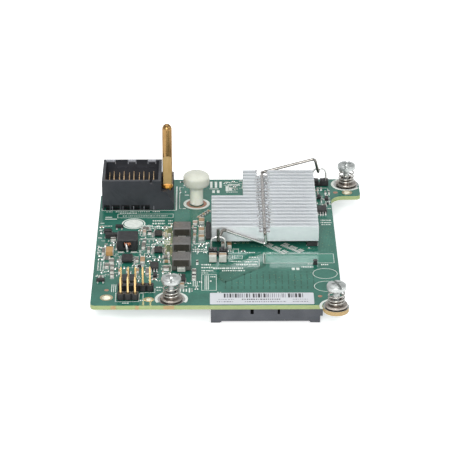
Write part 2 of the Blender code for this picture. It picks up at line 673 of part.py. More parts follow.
def add_blades(shroud, floor, inner):
    """The contact blades, each in its own slot in the shroud's floor; every other one is a ground blade."""
    floor_bottom, floor_top = floor
    inner_front, inner_back = inner
    rear = inner_back - BLADE_REAR_GAP
    length = rear - inner_front - BLADE_FRONT_GAP
    rail_top = floor_top + CLEARANCE
    signal = blade_mesh("signal_blade", length, rail_top, BLADE_TIP_HEIGHT, 0.0)
    ground = blade_mesh(
        "ground_blade", length, rail_top, BLADE_TIP_HEIGHT - GROUND_TIP_DROP, GROUND_FLANGE_REACH
    )
    for column in range(BLADE_COLUMNS):
        across = HEADER_LEFT + BLADE_FIRST + column * BLADE_PITCH
        half = BLADE_THICKNESS / 2 + CLEARANCE
        low = (across - half, rear - length - CLEARANCE, floor_bottom - CUT_PAST)
        high = (across + half, rear + CLEARANCE, floor_top + CUT_PAST)
        cut(shroud, add_block(f"header_blade_slot_{column + 1:02d}", low, high))
        mesh = signal if column % 2 else ground
        add_object(f"header_blade_{column + 1:02d}", mesh, None, (across, rear - length, 0))


def blade_mesh(name, length, rail_top, tip, flange_reach):
    """One stamped blade: a rail with upright teeth, the ground one with a flange along its rearmost tooth."""
    pitch = (length - BLADE_TOOTH_WIDTH) / (BLADE_TEETH_COUNT - 1)
    profile = [(length, CLEARANCE), (length, tip)]
    for tooth in range(BLADE_TEETH_COUNT):
        rear = length - tooth * pitch
        front = rear - BLADE_TOOTH_WIDTH
        if tooth:
            profile += [(rear, rail_top), (rear, tip)]
        profile += [(front, tip)]
        if tooth < BLADE_TEETH_COUNT - 1:
            profile += [(front, rail_top)]
    profile.append((0.0, CLEARANCE))
    comb = add_outline(name, [profile], BLADE_THICKNESS, CONTACT_GOLD, (0, 0, 0), FACING_SIDE)
    comb = to_solid(comb)
    if flange_reach:
        low = (0, length - BLADE_THICKNESS, tip - GROUND_FLANGE_HEIGHT)
        high = (BLADE_THICKNESS / 2 + flange_reach, length, tip)
        unite(comb, add_block("ground_blade_flange", low, high))
    bpy.context.view_layer.update()
    graph = bpy.context.evaluated_depsgraph_get()
    mesh = bpy.data.meshes.new_from_object(comb.evaluated_get(graph))
    mesh.transform(comb.matrix_local)
    bpy.data.objects.remove(comb, do_unlink=True)
    return mesh


def guide_pin_place():
    """The middle of the step that carries the guide pin."""
    across = HEADER_LEFT + HEADER_BOX_WIDTH + END_BLOCK_WIDTH / 2
    return across, HEADER_FRONT + END_BLOCK_DEPTH / 2


def add_guide_pin():
    """The gilt guide pin: a collar, a domed shank with one long flat, and a stem in the step's bore."""
    tip = GUIDE_PIN_LENGTH
    dome = [
        (GUIDE_PIN_RADIUS * math.sin(angle), tip - GUIDE_PIN_TIP * (1 - math.cos(angle)))
        for angle in (math.radians(18 * step) for step in range(6))
    ]
    profile = dome + [
        (GUIDE_PIN_RADIUS, CLEARANCE + GUIDE_PIN_COLLAR_HEIGHT),
        (GUIDE_PIN_COLLAR_RADIUS, CLEARANCE + GUIDE_PIN_COLLAR_HEIGHT / 2),
        (GUIDE_PIN_COLLAR_RADIUS, CLEARANCE),
        (GUIDE_PIN_STEM_RADIUS, CLEARANCE),
        (GUIDE_PIN_STEM_RADIUS, -GUIDE_PIN_STEM_LENGTH),
        (0.0, -GUIDE_PIN_STEM_LENGTH),
    ]
    step_top = CLEARANCE + END_BLOCK_HEIGHT
    x, y = guide_pin_place()
    pin = add_turned("guide_pin", profile, (x, y, step_top), GUIDE_GOLD)
    flat_low = (x - 2 * GUIDE_PIN_RADIUS, y - 2 * GUIDE_PIN_RADIUS, step_top + GUIDE_PIN_COLLAR_HEIGHT + CLEARANCE)
    flat_high = (x + 2 * GUIDE_PIN_RADIUS, y - GUIDE_PIN_FLAT_OFFSET, step_top + GUIDE_PIN_FLAT_HEIGHT)
    cut(pin, add_block("guide_pin_flat", flat_low, flat_high))


def add_knob():
    """The nylon pull knob, its stem snapped through the board."""
    rim = KNOB_HEAD_UNDERSIDE + KNOB_RIM_HEIGHT
    crown = KNOB_HEAD_HEIGHT - KNOB_RIM_HEIGHT
    dome = [
        (KNOB_HEAD_RADIUS * math.sin(angle), rim + crown * math.cos(angle))
        for angle in (math.radians(15 * step) for step in range(7))
    ]
    profile = dome + [
        (KNOB_HEAD_RADIUS, KNOB_HEAD_UNDERSIDE + KNOB_RIM_HEIGHT / 5),
        (KNOB_HEAD_RADIUS * 0.95, KNOB_HEAD_UNDERSIDE),
        (KNOB_POST_RADIUS, KNOB_NECK),
        (KNOB_POST_RADIUS, CLEARANCE),
        (KNOB_STEM_RADIUS, CLEARANCE),
        (KNOB_STEM_RADIUS, -BOARD_THICKNESS - KNOB_STEM_TAIL / 2),
        (KNOB_STEM_RADIUS / 2, -BOARD_THICKNESS - KNOB_STEM_TAIL),
        (0.0, -BOARD_THICKNESS - KNOB_STEM_TAIL),
    ]
    add_turned("pull_knob", profile, (*KNOB_PLACE, 0), NYLON)


def add_processor():
    """The processor under the heat sink: a square carrier with a raised lid."""
    x = HEAT_SINK_LEFT + HEAT_SINK_WIDTH / 2
    y = HEAT_SINK_FRONT + HEAT_SINK_DEPTH / 2
    half = PROCESSOR_SIDE / 2
    lid = half - PROCESSOR_LID_INSET
    carrier_top = PROCESSOR_HEIGHT - PROCESSOR_LID_HEIGHT
    low, high = (x - half, y - half, CLEARANCE), (x + half, y + half, carrier_top)
    processor = add_block("processor", low, high, CHIP_BLACK)
    low, high = (x - lid, y - lid, carrier_top / 2), (x + lid, y + lid, PROCESSOR_HEIGHT)
    unite(processor, add_block("processor_lid", low, high))


def add_heat_sink():
    """The extruded heat sink: cross fins on a base, a corner notched away and a channel for the clip."""
    bottom, top = HEAT_SINK_BOTTOM, HEAT_SINK_TOP
    valley = bottom + HEAT_SINK_BASE
    step_top = bottom + HEAT_SINK_STEP_HEIGHT
    profile = [
        (HEAT_SINK_DEPTH, bottom),
        (HEAT_SINK_STEP_DEPTH, bottom),
        (HEAT_SINK_STEP_DEPTH, step_top),
        (0, step_top),
        (0, top),
        (FIN_THICKNESS, top),
        (FIN_THICKNESS, valley),
    ]
    for fin in range(1, FIN_COUNT):
        near = fin * FIN_PITCH
        far = near + FIN_THICKNESS
        profile += [(near, valley), (near, top), (far, top)]
        if fin < FIN_COUNT - 1:
            profile.append((far, valley))
    place = (HEAT_SINK_LEFT + HEAT_SINK_WIDTH / 2, HEAT_SINK_FRONT, 0)
    sink = add_outline("heat_sink", [profile], HEAT_SINK_WIDTH, ALUMINIUM, place, FACING_SIDE)
    sink = to_solid(sink)
    back = HEAT_SINK_BACK
    low = (HEAT_SINK_LEFT - CUT_PAST, back - HEAT_SINK_NOTCH_LENGTH, bottom - CUT_PAST)
    high = (HEAT_SINK_LEFT + HEAT_SINK_NOTCH_WIDTH, back + CUT_PAST, top + CUT_PAST)
    cut(sink, add_block("heat_sink_notch", low, high))
    middle = HEAT_SINK_LEFT + CLIP_CHANNEL_OFFSET
    low = (middle - CLIP_CHANNEL_WIDTH / 2, HEAT_SINK_FRONT - CUT_PAST, CLIP_CHANNEL_FLOOR)
    high = (middle + CLIP_CHANNEL_WIDTH / 2, back + CUT_PAST, top + CUT_PAST)
    cut(sink, add_block("heat_sink_clip_channel", low, high))


def add_clip():
    """The wire clip: a middle run in the heat sink's channel and two arms hooked under the anchor loops."""
    radius = CLIP_WIRE / 2
    channel = HEAT_SINK_LEFT + CLIP_CHANNEL_OFFSET
    run = CLIP_CHANNEL_FLOOR + CLEARANCE + radius
    front = HEAT_SINK_FRONT - CLEARANCE - radius
    back = HEAT_SINK_BACK + CLEARANCE + radius
    under_loop = ANCHOR_LOOP_TOP - ANCHOR_WIRE - CLEARANCE - radius
    past_loop = ANCHOR_WIRE / 2 + CLEARANCE + radius
    hook = 2.0 * CLIP_WIRE
    front_x, front_y = FRONT_ANCHOR
    rear_x, rear_y = REAR_ANCHOR
    corners = [
        (front_x, front_y - past_loop - radius / 2, CLIP_HOOK_TIP),
        (front_x, front_y - past_loop, under_loop),
        (front_x + radius / 2, front_y + past_loop, under_loop),
        (front_x + hook * 0.8, front, CLIP_FRONT_HIGH),
        (channel + hook / 4, front, CLIP_FRONT_LOW),
        (channel, front, run),
        (channel, back, run),
        (rear_x - hook * 0.9, back, CLIP_REAR_HIGH),
        (rear_x - hook / 5, rear_y - past_loop, under_loop),
        (rear_x, rear_y + hook, under_loop),
    ]
    add_wire("heat_sink_clip", bend_path(corners, CLIP_BEND), CLIP_WIRE, SPRING_STEEL)


def add_anchor(name, place):
    """A clip anchor: a moulded base soldered to the board, with a wire loop standing out of it."""
    x, y = place
    low = (x - ANCHOR_WIDTH / 2, y - ANCHOR_DEPTH / 2, CLEARANCE)
    high = (x + ANCHOR_WIDTH / 2, y + ANCHOR_DEPTH / 2, CLEARANCE + ANCHOR_HEIGHT)
    base = add_block(f"{name}_anchor_base", low, high, PIN_PLASTIC)
    half = ANCHOR_LOOP_WIDTH / 2
    foot = CLEARANCE + ANCHOR_HEIGHT - ANCHOR_LOOP_BURIED
    for side in (-half, half):
        hole = add_rod(
            f"{name}_anchor_hole",
            ANCHOR_WIRE / 2 + CLEARANCE,
            foot - CLEARANCE,
            high[2] + CUT_PAST,
            (x + side, y),
            steps=12,
        )
        cut(base, hole)
    top = ANCHOR_LOOP_TOP - ANCHOR_WIRE / 2
    corners = [(-half, 0, foot), (-half, 0, top), (half, 0, top), (half, 0, foot)]
    loop = bend_path(corners, half * 0.9, 6)
    add_wire(f"{name}_anchor_loop", loop, ANCHOR_WIRE, TINNED_COPPER, (x, y, 0))


def add_captive_screw(name, place, slot_angle):
    """One captive screw: the flanged ferrule in the board, the spring on it, and the screw."""
    x, y = place
    bore = SCREW_THREAD_RADIUS + SCREW_BORE_GAP
    flange_top = CLEARANCE + FERRULE_FLANGE_THICKNESS
    tail = -BOARD_THICKNESS - FERRULE_TAIL
    ferrule = [
        (FERRULE_BARREL_RADIUS, FERRULE_TOP),
        (FERRULE_BARREL_RADIUS, flange_top),
        (FERRULE_FLANGE_RADIUS, flange_top),
        (FERRULE_FLANGE_RADIUS, CLEARANCE),
        (FERRULE_BARREL_RADIUS, CLEARANCE),
        (FERRULE_BARREL_RADIUS, tail),
        (bore, tail),
        (bore, FERRULE_TOP),
    ]
    add_turned(f"{name}_ferrule", ferrule, (x, y, 0), STEEL, ring=True)
    add_spring(f"{name}_spring", place, flange_top)

    head, top = SCREW_HEAD_UNDERSIDE, SCREW_HEAD_UNDERSIDE + SCREW_HEAD_HEIGHT
    edge = SCREW_HEAD_EDGE
    rim = arc((SCREW_HEAD_RADIUS - edge, top - edge), edge, 72, 0, 4)
    pan = [(0.0, top + SCREW_HEAD_CROWN), (SCREW_HEAD_RADIUS / 2, top + SCREW_HEAD_CROWN / 2), *rim]
    thread_top = FERRULE_TOP - CLEARANCE
    tip = -BOARD_THICKNESS
    profile = pan + [
        (SCREW_HEAD_RADIUS, head),
        (SCREW_NECK_RADIUS, head),
        (SCREW_NECK_RADIUS, thread_top),
        (SCREW_THREAD_RADIUS, thread_top - CLEARANCE),
        (SCREW_THREAD_RADIUS, tip + SCREW_TIP_CHAMFER),
        (SCREW_THREAD_RADIUS - SCREW_TIP_CHAMFER, tip),
        (0.0, tip),
    ]
    screw = add_turned(f"{name}_screw", profile, (x, y, 0), STEEL, steps=20)
    drives = (
        (slot_angle, 2 * SCREW_HEAD_RADIUS + CUT_PAST, DRIVE_SLOT_DEPTH),
        (slot_angle + 90, DRIVE_CROSS_LENGTH, DRIVE_CROSS_DEPTH),
    )
    for number, (angle, length, depth) in enumerate(drives, 1):
        half = Vector((length / 2, DRIVE_SLOT_WIDTH / 2, 0))
        low = (-half.x, -half.y, top - depth)
        high = (half.x, half.y, top + CUT_PAST)
        slot = add_block(f"{name}_drive_{number}", low, high)
        slot.location.x += x
        slot.location.y += y
        slot.rotation_euler.z = math.radians(angle)
        cut(screw, slot)


def add_spring(name, place, seat):
    """A compression spring between the ferrule's flange and the screw's head, its turns opening upward."""
    wire = SPRING_WIRE
    coil = FERRULE_BARREL_RADIUS + SPRING_INNER_GAP + wire / 2
    low = seat + CLEARANCE + wire / 2
    high = SCREW_HEAD_UNDERSIDE - CLEARANCE - wire / 2
    points = []
    for step in range(round(SPRING_TURNS * SPRING_POINTS_PER_TURN) + 1):
        turn = step / SPRING_POINTS_PER_TURN
        height = low + (high - low) * (turn / SPRING_TURNS) ** SPRING_OPENING
        angle = math.radians(SPRING_FIRST_ANGLE) + 2 * math.pi * turn
        points.append((coil * math.cos(angle), coil * math.sin(angle), height))
    add_wire(name, points, wire, SPRING_STEEL, (*place, 0))


def add_ferrite_inductors():
    """The column of ferrite inductors, each a grooved core over one flat strap."""
    for number in range(FERRITE_COUNT):
        left = FERRITE_LEFT
        front = FERRITE_FRONT + number * FERRITE_PITCH
        right, back = left + FERRITE_WIDTH, front + FERRITE_DEPTH
        top = CLEARANCE + FERRITE_HEIGHT
        core = add_block(
            f"ferrite_core_{number + 1}", (left, front, CLEARANCE), (right, back, top), FERRITE, FERRITE_EDGE
        )
        middle = (left + right) / 2
        half = STRAP_WIDTH / 2 + CLEARANCE
        low = (middle - half, front - CUT_PAST, -CUT_PAST)
        high = (middle + half, back + CUT_PAST, STRAP_HEIGHT + CLEARANCE)
        cut(core, add_block(f"ferrite_groove_{number + 1}", low, high))
        near = front - CLEARANCE - STRAP_THICKNESS
        far = back + CLEARANCE + STRAP_THICKNESS
        profile = [
            (near, CLEARANCE),
            (near + STRAP_THICKNESS, CLEARANCE),
            (near + STRAP_THICKNESS, STRAP_HEIGHT - STRAP_THICKNESS),
            (far - STRAP_THICKNESS, STRAP_HEIGHT - STRAP_THICKNESS),
            (far - STRAP_THICKNESS, CLEARANCE),
            (far, CLEARANCE),
            (far, STRAP_HEIGHT),
            (near, STRAP_HEIGHT),
        ]
        name = f"inductor_strap_{number + 1}"
        add_outline(name, [profile], STRAP_WIDTH, TINNED_COPPER, (middle, 0, 0), FACING_SIDE)


def add_power_inductor():
    """The square power inductor: a moulded core with a window, and the winding seen through it."""
    left, front = POWER_INDUCTOR_PLACE
    side = POWER_INDUCTOR_SIDE
    low, high = (left, front, CLEARANCE), (left + side, front + side, CLEARANCE + POWER_INDUCTOR_HEIGHT)
    core = add_block("power_inductor_core", low, high, CHIP_BLACK, FERRITE_EDGE)
    middle = left + side / 2
    sill = CLEARANCE + POWER_WINDOW_SILL
    low = (middle - POWER_WINDOW_WIDTH / 2, front - CUT_PAST, sill)
    high = (middle + POWER_WINDOW_WIDTH / 2, front + side + CUT_PAST, sill + POWER_WINDOW_HEIGHT)
    cut(core, add_block("power_inductor_window", low, high))
    outer = POWER_WINDOW_HEIGHT / 2 - CLEARANCE
    pitch = POWER_WIRE
    length = POWER_WINDING_TURNS * pitch
    profile = [(0.0, length)]
    for turn in range(POWER_WINDING_TURNS):
        top = length - turn * pitch
        profile += [(outer * 0.8, top), (outer, top - pitch * 0.25), (outer, top - pitch * 0.75)]
    profile += [(outer * 0.8, 0.0), (0.0, 0.0)]
    place = (middle, front + (side + length) / 2, sill + POWER_WINDOW_HEIGHT / 2)
    winding = add_turned("power_inductor_winding", profile, place, COPPER, steps=12)
    winding.rotation_euler.x = math.radians(90)


def add_pin(name, x, y, top):
    """One square pin with a tapered tip."""
    mesh = bpy.data.meshes.new(name)
    shape = bmesh.new()
    body, tip = PIN_SIDE / 2, PIN_TIP_SIDE / 2
    rings = []
    for half, height in ((body, CLEARANCE), (body, top - PIN_TIP_LENGTH), (tip, top)):
        corners = ((-half, -half), (half, -half), (half, half), (-half, half))
        rings.append([shape.verts.new((a, b, height)) for a, b in corners])
    shape.faces.new(reversed(rings[0]))
    shape.faces.new(rings[-1])
    for low, high in zip(rings, rings[1:]):
        for i in range(4):
            shape.faces.new((low[i], low[(i + 1) % 4], high[(i + 1) % 4], high[i]))
    shape.to_mesh(mesh)
    shape.free()
    return add_object(name, mesh, CONTACT_GOLD, (x, y, 0))


def add_pin_header(name, front, count, top):
    """A pin header: a base notched between its positions, and one square pin in each."""
    corner = PIN_BASE_CORNER
    left, right = PIN_HEADER_LEFT, PIN_HEADER_LEFT + count * PIN_PITCH
    back = front + PIN_PITCH
    near, far = [], []
    for position in range(count):
        low_x = left + position * PIN_PITCH
        high_x = low_x + PIN_PITCH
        near += [(low_x + corner, front), (high_x - corner, front), (high_x, front + corner)]
        far += [(low_x + corner, back), (high_x - corner, back), (high_x, back - corner)]
    outline = [(left, front + corner), *near, *reversed(far), (left, back - corner)]
    hole = PIN_SIDE / 2 + CLEARANCE
    loops = [outline]
    middle = front + PIN_PITCH / 2
    for position in range(count):
        x = left + (position + 0.5) * PIN_PITCH
        loops.append(rectangle((x - hole, middle - hole), (x + hole, middle + hole)))
        add_pin(f"{name}_pin_{position + 1}", x, middle, top)
    place = (0, 0, CLEARANCE + PIN_BASE_HEIGHT / 2)
    add_outline(f"{name}_pin_base", loops, PIN_BASE_HEIGHT, PIN_PLASTIC, place)


def add_capacitor(name, place, size, material):
    """A two-terminal block, its terminals a little proud of its body at both ends."""
    left, front = place
    width, depth, height = size
    right, back = left + width, front + depth
    proud, terminal = TERMINAL_PROUD, TERMINAL_LENGTH
    outline = [
        (left - proud, front),
        (right + proud, front),
        (right + proud, front + terminal),
        (right, front + terminal),
        (right, back - terminal),
        (right + proud, back - terminal),
        (right + proud, back),
        (left - proud, back),
        (left - proud, back - terminal),
        (left, back - terminal),
        (left, front + terminal),
        (left - proud, front + terminal),
    ]
    place = (0, 0, CLEARANCE + height / 2)
    add_outline(name, [outline], height, material, place)


def add_chip(name, left, front, width, depth, height, leads):
    """A moulded chip with gull-wing leads on its front and back."""
    low = (left, front, CLEARANCE + LEAD_THICKNESS)
    high = (left + width, front + depth, CLEARANCE + height)
    chip = add_block(name, low, high, CHIP_BLACK)
    near, far = front - LEAD_REACH, front + depth + LEAD_REACH
    shoulder = CLEARANCE + height / 2
    foot, thick = LEAD_REACH / 2, LEAD_THICKNESS
    profile = [
        (near, CLEARANCE),
        (near + foot + thick, CLEARANCE),
        (near + foot + thick, shoulder - thick),
        (far - foot - thick, shoulder - thick),
        (far - foot - thick, CLEARANCE),
        (far, CLEARANCE),
        (far, CLEARANCE + thick),
        (far - foot, CLEARANCE + thick),
        (far - foot, shoulder),
        (near + foot, shoulder),
        (near + foot, CLEARANCE + thick),
        (near, CLEARANCE + thick),
    ]
    pitch = width / leads
    place = (left + pitch / 2, 0, 0)
    frame = add_outline(f"{name}_leads", [profile], LEAD_WIDTH, None, place, FACING_SIDE)
    frame = to_solid(frame)
    row = frame.modifiers.new("row", "ARRAY")
    row.count = leads
    row.use_relative_offset = False
    row.use_constant_offset = True
    row.constant_offset_displace = (0, 0, pitch)
    unite(chip, frame)


def add_card():
    """The whole card, from the board up."""
    add_board()
    add_connector()
    add_header()
    add_guide_pin()
    add_knob()
    add_processor()
    add_heat_sink()
    add_clip()
    add_anchor("front", FRONT_ANCHOR)
    add_anchor("rear", REAR_ANCHOR)
    for (name, place), slot_angle in zip(SCREW_PLACES.items(), SLOT_ANGLES):
        add_captive_screw(name, place, slot_angle)
    add_ferrite_inductors()
    add_power_inductor()
    for name, (front, top) in PIN_ROWS.items():
        add_pin_header(name, front, PIN_COUNT[name], top)
    for name, place in CAPACITOR_PLACES.items():
        add_capacitor(name, place, CAPACITOR_SIZE, CERAMIC)
    add_capacitor("tantalum_capacitor", TANTALUM_PLACE, TANTALUM_SIZE, TANTALUM_TAN)
    for name, sizes in CHIPS.items():
        add_chip(name, *sizes, LEAD_COUNT[name])


add_card()
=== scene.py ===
"""Looks of the mezzanine pass-through card: finishes, smooth metalwork, board print and small parts on its frame."""
from __future__ import annotations

import json
import logging
import math
import random
from collections.abc import Callable, Sequence
from dataclasses import dataclass, field
from enum import Enum
from functools import cache

import bmesh
import bpy
from mathutils import Matrix, Vector

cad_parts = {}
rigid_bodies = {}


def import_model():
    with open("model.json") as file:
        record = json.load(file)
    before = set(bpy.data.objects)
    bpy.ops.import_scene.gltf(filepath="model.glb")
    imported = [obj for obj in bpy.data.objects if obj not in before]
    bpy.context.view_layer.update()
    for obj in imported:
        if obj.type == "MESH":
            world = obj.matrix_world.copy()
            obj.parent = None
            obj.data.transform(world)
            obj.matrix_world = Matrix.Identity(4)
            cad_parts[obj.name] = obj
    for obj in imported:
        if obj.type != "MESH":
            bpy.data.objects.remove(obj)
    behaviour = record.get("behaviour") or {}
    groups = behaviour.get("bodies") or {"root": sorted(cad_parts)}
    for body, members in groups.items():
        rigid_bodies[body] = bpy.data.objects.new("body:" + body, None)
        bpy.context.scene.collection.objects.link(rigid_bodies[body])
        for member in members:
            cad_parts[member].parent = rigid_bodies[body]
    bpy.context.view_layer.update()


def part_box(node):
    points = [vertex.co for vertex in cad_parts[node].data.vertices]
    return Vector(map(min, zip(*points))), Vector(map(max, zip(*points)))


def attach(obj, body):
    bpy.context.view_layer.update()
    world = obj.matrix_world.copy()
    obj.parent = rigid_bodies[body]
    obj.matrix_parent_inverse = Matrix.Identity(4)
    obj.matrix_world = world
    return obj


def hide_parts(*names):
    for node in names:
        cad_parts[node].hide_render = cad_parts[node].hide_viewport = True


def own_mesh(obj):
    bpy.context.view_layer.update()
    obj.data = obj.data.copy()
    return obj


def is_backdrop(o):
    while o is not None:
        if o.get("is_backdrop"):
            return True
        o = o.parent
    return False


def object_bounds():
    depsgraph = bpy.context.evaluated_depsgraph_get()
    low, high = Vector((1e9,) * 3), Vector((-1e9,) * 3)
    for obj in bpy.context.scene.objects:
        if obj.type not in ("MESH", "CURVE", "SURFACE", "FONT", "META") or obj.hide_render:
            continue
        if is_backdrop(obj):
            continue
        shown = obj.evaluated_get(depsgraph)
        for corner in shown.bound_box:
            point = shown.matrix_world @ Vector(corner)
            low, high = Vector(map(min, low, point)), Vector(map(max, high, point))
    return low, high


LOG = logging.getLogger("card")
MM = 0.001
CLEARANCE = 0.3
WELD = 1e-4
FRONT_EAR_REACH = 5.45
BOARD_THICKNESS = 1.6

Point = tuple[float, float, float]
Flat = tuple[float, float]
Rect = tuple[float, float, float, float]
Colour = tuple[int, int, int]
Socket = bpy.types.NodeSocket


class Slot(Enum):
    """The record's material slots."""

    MASK = "solder_mask"
    CONNECTOR = "connector_plastic"
    HEADER = "header_plastic"
    PIN_BASE = "pin_header_plastic"
    CONTACT = "contact_gold"
    GUIDE = "guide_pin_gold"
    NYLON = "natural_nylon"
    ALUMINIUM = "satin_aluminium"
    CHIP = "chip_black"
    NICKEL = "nickel_steel"
    SPRING = "spring_steel"
    FERRITE = "ferrite"
    TIN = "tinned_copper"
    ENAMEL = "enamelled_copper"
    CERAMIC = "capacitor_ceramic"
    TANTALUM = "tantalum_tan"


def linear(colour: Colour) -> tuple[float, float, float, float]:
    """Turns a colour as seen, 0 to 255, into Blender's linear colour.

    Args:
        colour: red, green and blue as seen on a screen.

    Returns:
        Linear red, green, blue and a full alpha.
    """
    steps = [part / 255 for part in colour]
    made = [s / 12.92 if s <= 0.04045 else ((s + 0.055) / 1.055) ** 2.4 for s in steps]
    return made[0], made[1], made[2], 1.0


class Nodes:
    """Short calls for the nodes of one tree."""

    def __init__(self, tree: bpy.types.NodeTree) -> None:
        """Empties the tree."""
        self.tree = tree
        tree.nodes.clear()

    def join(self, source: Socket, target: Socket) -> None:
        """Links one socket to another."""
        self.tree.links.new(source, target)

    def step(self, kind: str, links: dict[str | int, object], **settings: object) -> bpy.types.Node:
        """Adds a node with its inputs joined or set.

        Args:
            kind: the node's type.
            links: a socket or a plain value for each input, by its name or number.
            settings: the properties to set on the node.

        Returns:
            The node.
        """
        made = self.tree.nodes.new(kind)
        for name, value in settings.items():
            setattr(made, name, value)
        for name, value in links.items():
            if isinstance(value, Socket):
                self.join(value, made.inputs[name])
            else:
                made.inputs[name].default_value = value
        return made

    def remap(self, source: Socket, low: float, high: float, start: float = 0.0, end: float = 1.0) -> Socket:
        """Stretches a value from start and end to low and high, and holds it between them."""
        links = {"Value": source, "From Min": start, "From Max": end, "To Min": low, "To Max": high}
        return self.step("ShaderNodeMapRange", links).outputs["Result"]

    def sums(self, operation: str, first: Socket, second: Socket | float) -> Socket:
        """Reckons with two values."""
        return self.step("ShaderNodeMath", {0: first, 1: second}, operation=operation).outputs[0]

    def weigh(self, first: Socket, share: float, second: Socket, rest: float) -> Socket:
        """Adds two values, each times its own weight."""
        return self.sums("ADD", self.sums("MULTIPLY", first, share), self.sums("MULTIPLY", second, rest))

    def seen(self) -> Socket:
        """Gives 1 where the eye, gloss or glass sees a surface, and 0 where it only sheds light."""
        rays = self.step("ShaderNodeLightPath", {}).outputs
        eye = self.sums("MAXIMUM", rays["Is Camera Ray"], rays["Is Glossy Ray"])
        return self.sums("MAXIMUM", eye, rays["Is Transmission Ray"])


class Sheet(Nodes):
    """One material's nodes, with patterns sized in millimetres on Object coordinates."""

    def __init__(self, material: bpy.types.Material) -> None:
        """Sets a plain shader in the material.

        Args:
            material: the material to draw.
        """
        material.use_nodes = True
        super().__init__(material.node_tree)
        self.shader = self.step("ShaderNodeBsdfPrincipled", {})
        self.step("ShaderNodeOutputMaterial", {"Surface": self.shader.outputs["BSDF"]})
        self.place = self.step("ShaderNodeTexCoord", {}).outputs["Object"]

    def coords(self, size: float, stretch: Point = (1, 1, 1)) -> Socket:
        """Gives Object coordinates for features of that size, stretched along each axis."""
        scale = [1 / (size * MM * part) for part in stretch]
        return self.step("ShaderNodeMapping", {"Scale": scale, "Vector": self.place}).outputs["Vector"]

    def noise(self, size: float, stretch: Point = (1, 1, 1), detail: float = 3.0) -> Socket:
        """Adds a noise of that size, stretched along each axis, with so many finer layers."""
        links = {"Scale": 1.0, "Detail": detail, "Vector": self.coords(size, stretch)}
        return self.step("ShaderNodeTexNoise", links).outputs[0]

    def waves(self, size: float, axis: str, rough: float = 0.0) -> Socket:
        """Adds straight bands of that pitch across an axis, which wander where they are rough."""
        links = {"Scale": 0.314, "Distortion": rough, "Vector": self.coords(size)}
        return self.step("ShaderNodeTexWave", links, bands_direction=axis).outputs["Fac"]

    def blend(self, factor: Socket, first: Colour, second: Colour) -> Socket:
        """Mixes two colours as seen, by the share of the second."""
        return self.step("ShaderNodeMix", {0: factor, 6: linear(first), 7: linear(second)}, data_type="RGBA").outputs[2]

    def bump(self, source: Socket, strength: float, deep: float) -> None:
        """Puts a relief on the shader's normal, after any that it has.

        Args:
            source: the relief's height, 0 to 1.
            strength: how much of it shows.
            deep: its depth, in millimetres.
        """
        made = self.step("ShaderNodeBump", {"Strength": strength, "Distance": deep * MM, "Height": source})
        socket = self.shader.inputs["Normal"]
        if socket.is_linked:
            self.join(socket.links[0].from_socket, made.inputs["Normal"])
        self.join(made.outputs["Normal"], socket)

    def give(self, **values: Socket | float | tuple[float, ...]) -> None:
        """Sets or links sockets of the shader.

        Args:
            values: what each gets; an underscore stands for a space in its name.
        """
        for name, value in values.items():
            socket = self.shader.inputs[name.replace("_", " ")]
            if isinstance(value, Socket):
                self.join(value, socket)
            else:
                socket.default_value = value


@dataclass(frozen=True)
class Finish:
    """A surface finish with slow clouds, a fine grain and uneven gloss."""

    name: str
    slot: Slot
    pale: Colour
    deep: Colour
    gloss: Flat = (0.35, 0.5)
    metal: float = 0.0
    cloud: float = 4.0
    grain: float = 0.12
    relief: float = 0.2
    ior: float = 1.5

    def material(self) -> bpy.types.Material:
        """Makes the material once, and gives it."""
        found = bpy.data.materials.get(self.name)
        if found is None:
            found = bpy.data.materials.new(self.name)
            self.draw(Sheet(found))
        return found

    def draw(self, sheet: Sheet) -> None:
        """Draws the finish.

        Args:
            sheet: the nodes to draw with.
        """
        clouds, grain = sheet.noise(self.cloud, detail=4.0), sheet.noise(self.grain, detail=2.0)
        share = sheet.remap(sheet.weigh(grain, 0.45, clouds, 0.55), 0.0, 1.0, 0.33, 0.67)
        sheet.give(
            Base_Color=sheet.blend(share, self.deep, self.pale),
            Roughness=sheet.remap(share, self.gloss[1], self.gloss[0]),
            Metallic=self.metal, IOR=self.ior,
        )
        if self.relief:
            sheet.bump(grain, self.relief, self.grain * 0.3)


@dataclass(frozen=True)
class MaskFinish(Finish):
    """Green solder mask over woven laminate, glossy, with slow clouds where copper lies under it."""

    weave: float = 0.55

    def draw(self, sheet: Sheet) -> None:
        """Draws the mask.

        Args:
            sheet: the nodes to draw with.
        """
        clouds, fine = sheet.noise(9.0), sheet.noise(0.7)
        share = sheet.remap(sheet.weigh(clouds, 1.0, fine, 0.4), 0.0, 1.0, 0.5, 0.9)
        cloth = sheet.sums("MULTIPLY", sheet.waves(self.weave, "X", 0.6), sheet.waves(self.weave, "Y", 0.6))
        sheet.give(
            Base_Color=sheet.blend(share, self.deep, self.pale), Roughness=sheet.remap(fine, *self.gloss, 0.3, 0.7),
            IOR=1.52
        )
        sheet.bump(cloth, 0.05, 0.015)
        sheet.bump(fine, 0.05, 0.02)


@dataclass(frozen=True)
class LaminateFinish(Finish):
    """The routed edge of glass laminate: pale glass layers in yellow-green resin."""

    def draw(self, sheet: Sheet) -> None:
        """Draws the edge.

        Args:
            sheet: the nodes to draw with.
        """
        layers, fluff = sheet.waves(0.26, "Z", 1.2), sheet.noise(0.35, (3, 3, 0.6), 4.0)
        share = sheet.weigh(layers, 0.45, fluff, 0.6)
        sheet.give(
            Base_Color=sheet.blend(sheet.remap(share, 0.0, 1.0, 0.25, 0.8), self.deep, self.pale),
            Roughness=sheet.remap(fluff, *self.gloss),
            Subsurface_Weight=0.15, Subsurface_Radius=(0.6, 0.8, 0.4), Subsurface_Scale=0.001,
        )
        sheet.bump(share, 0.35, 0.06)


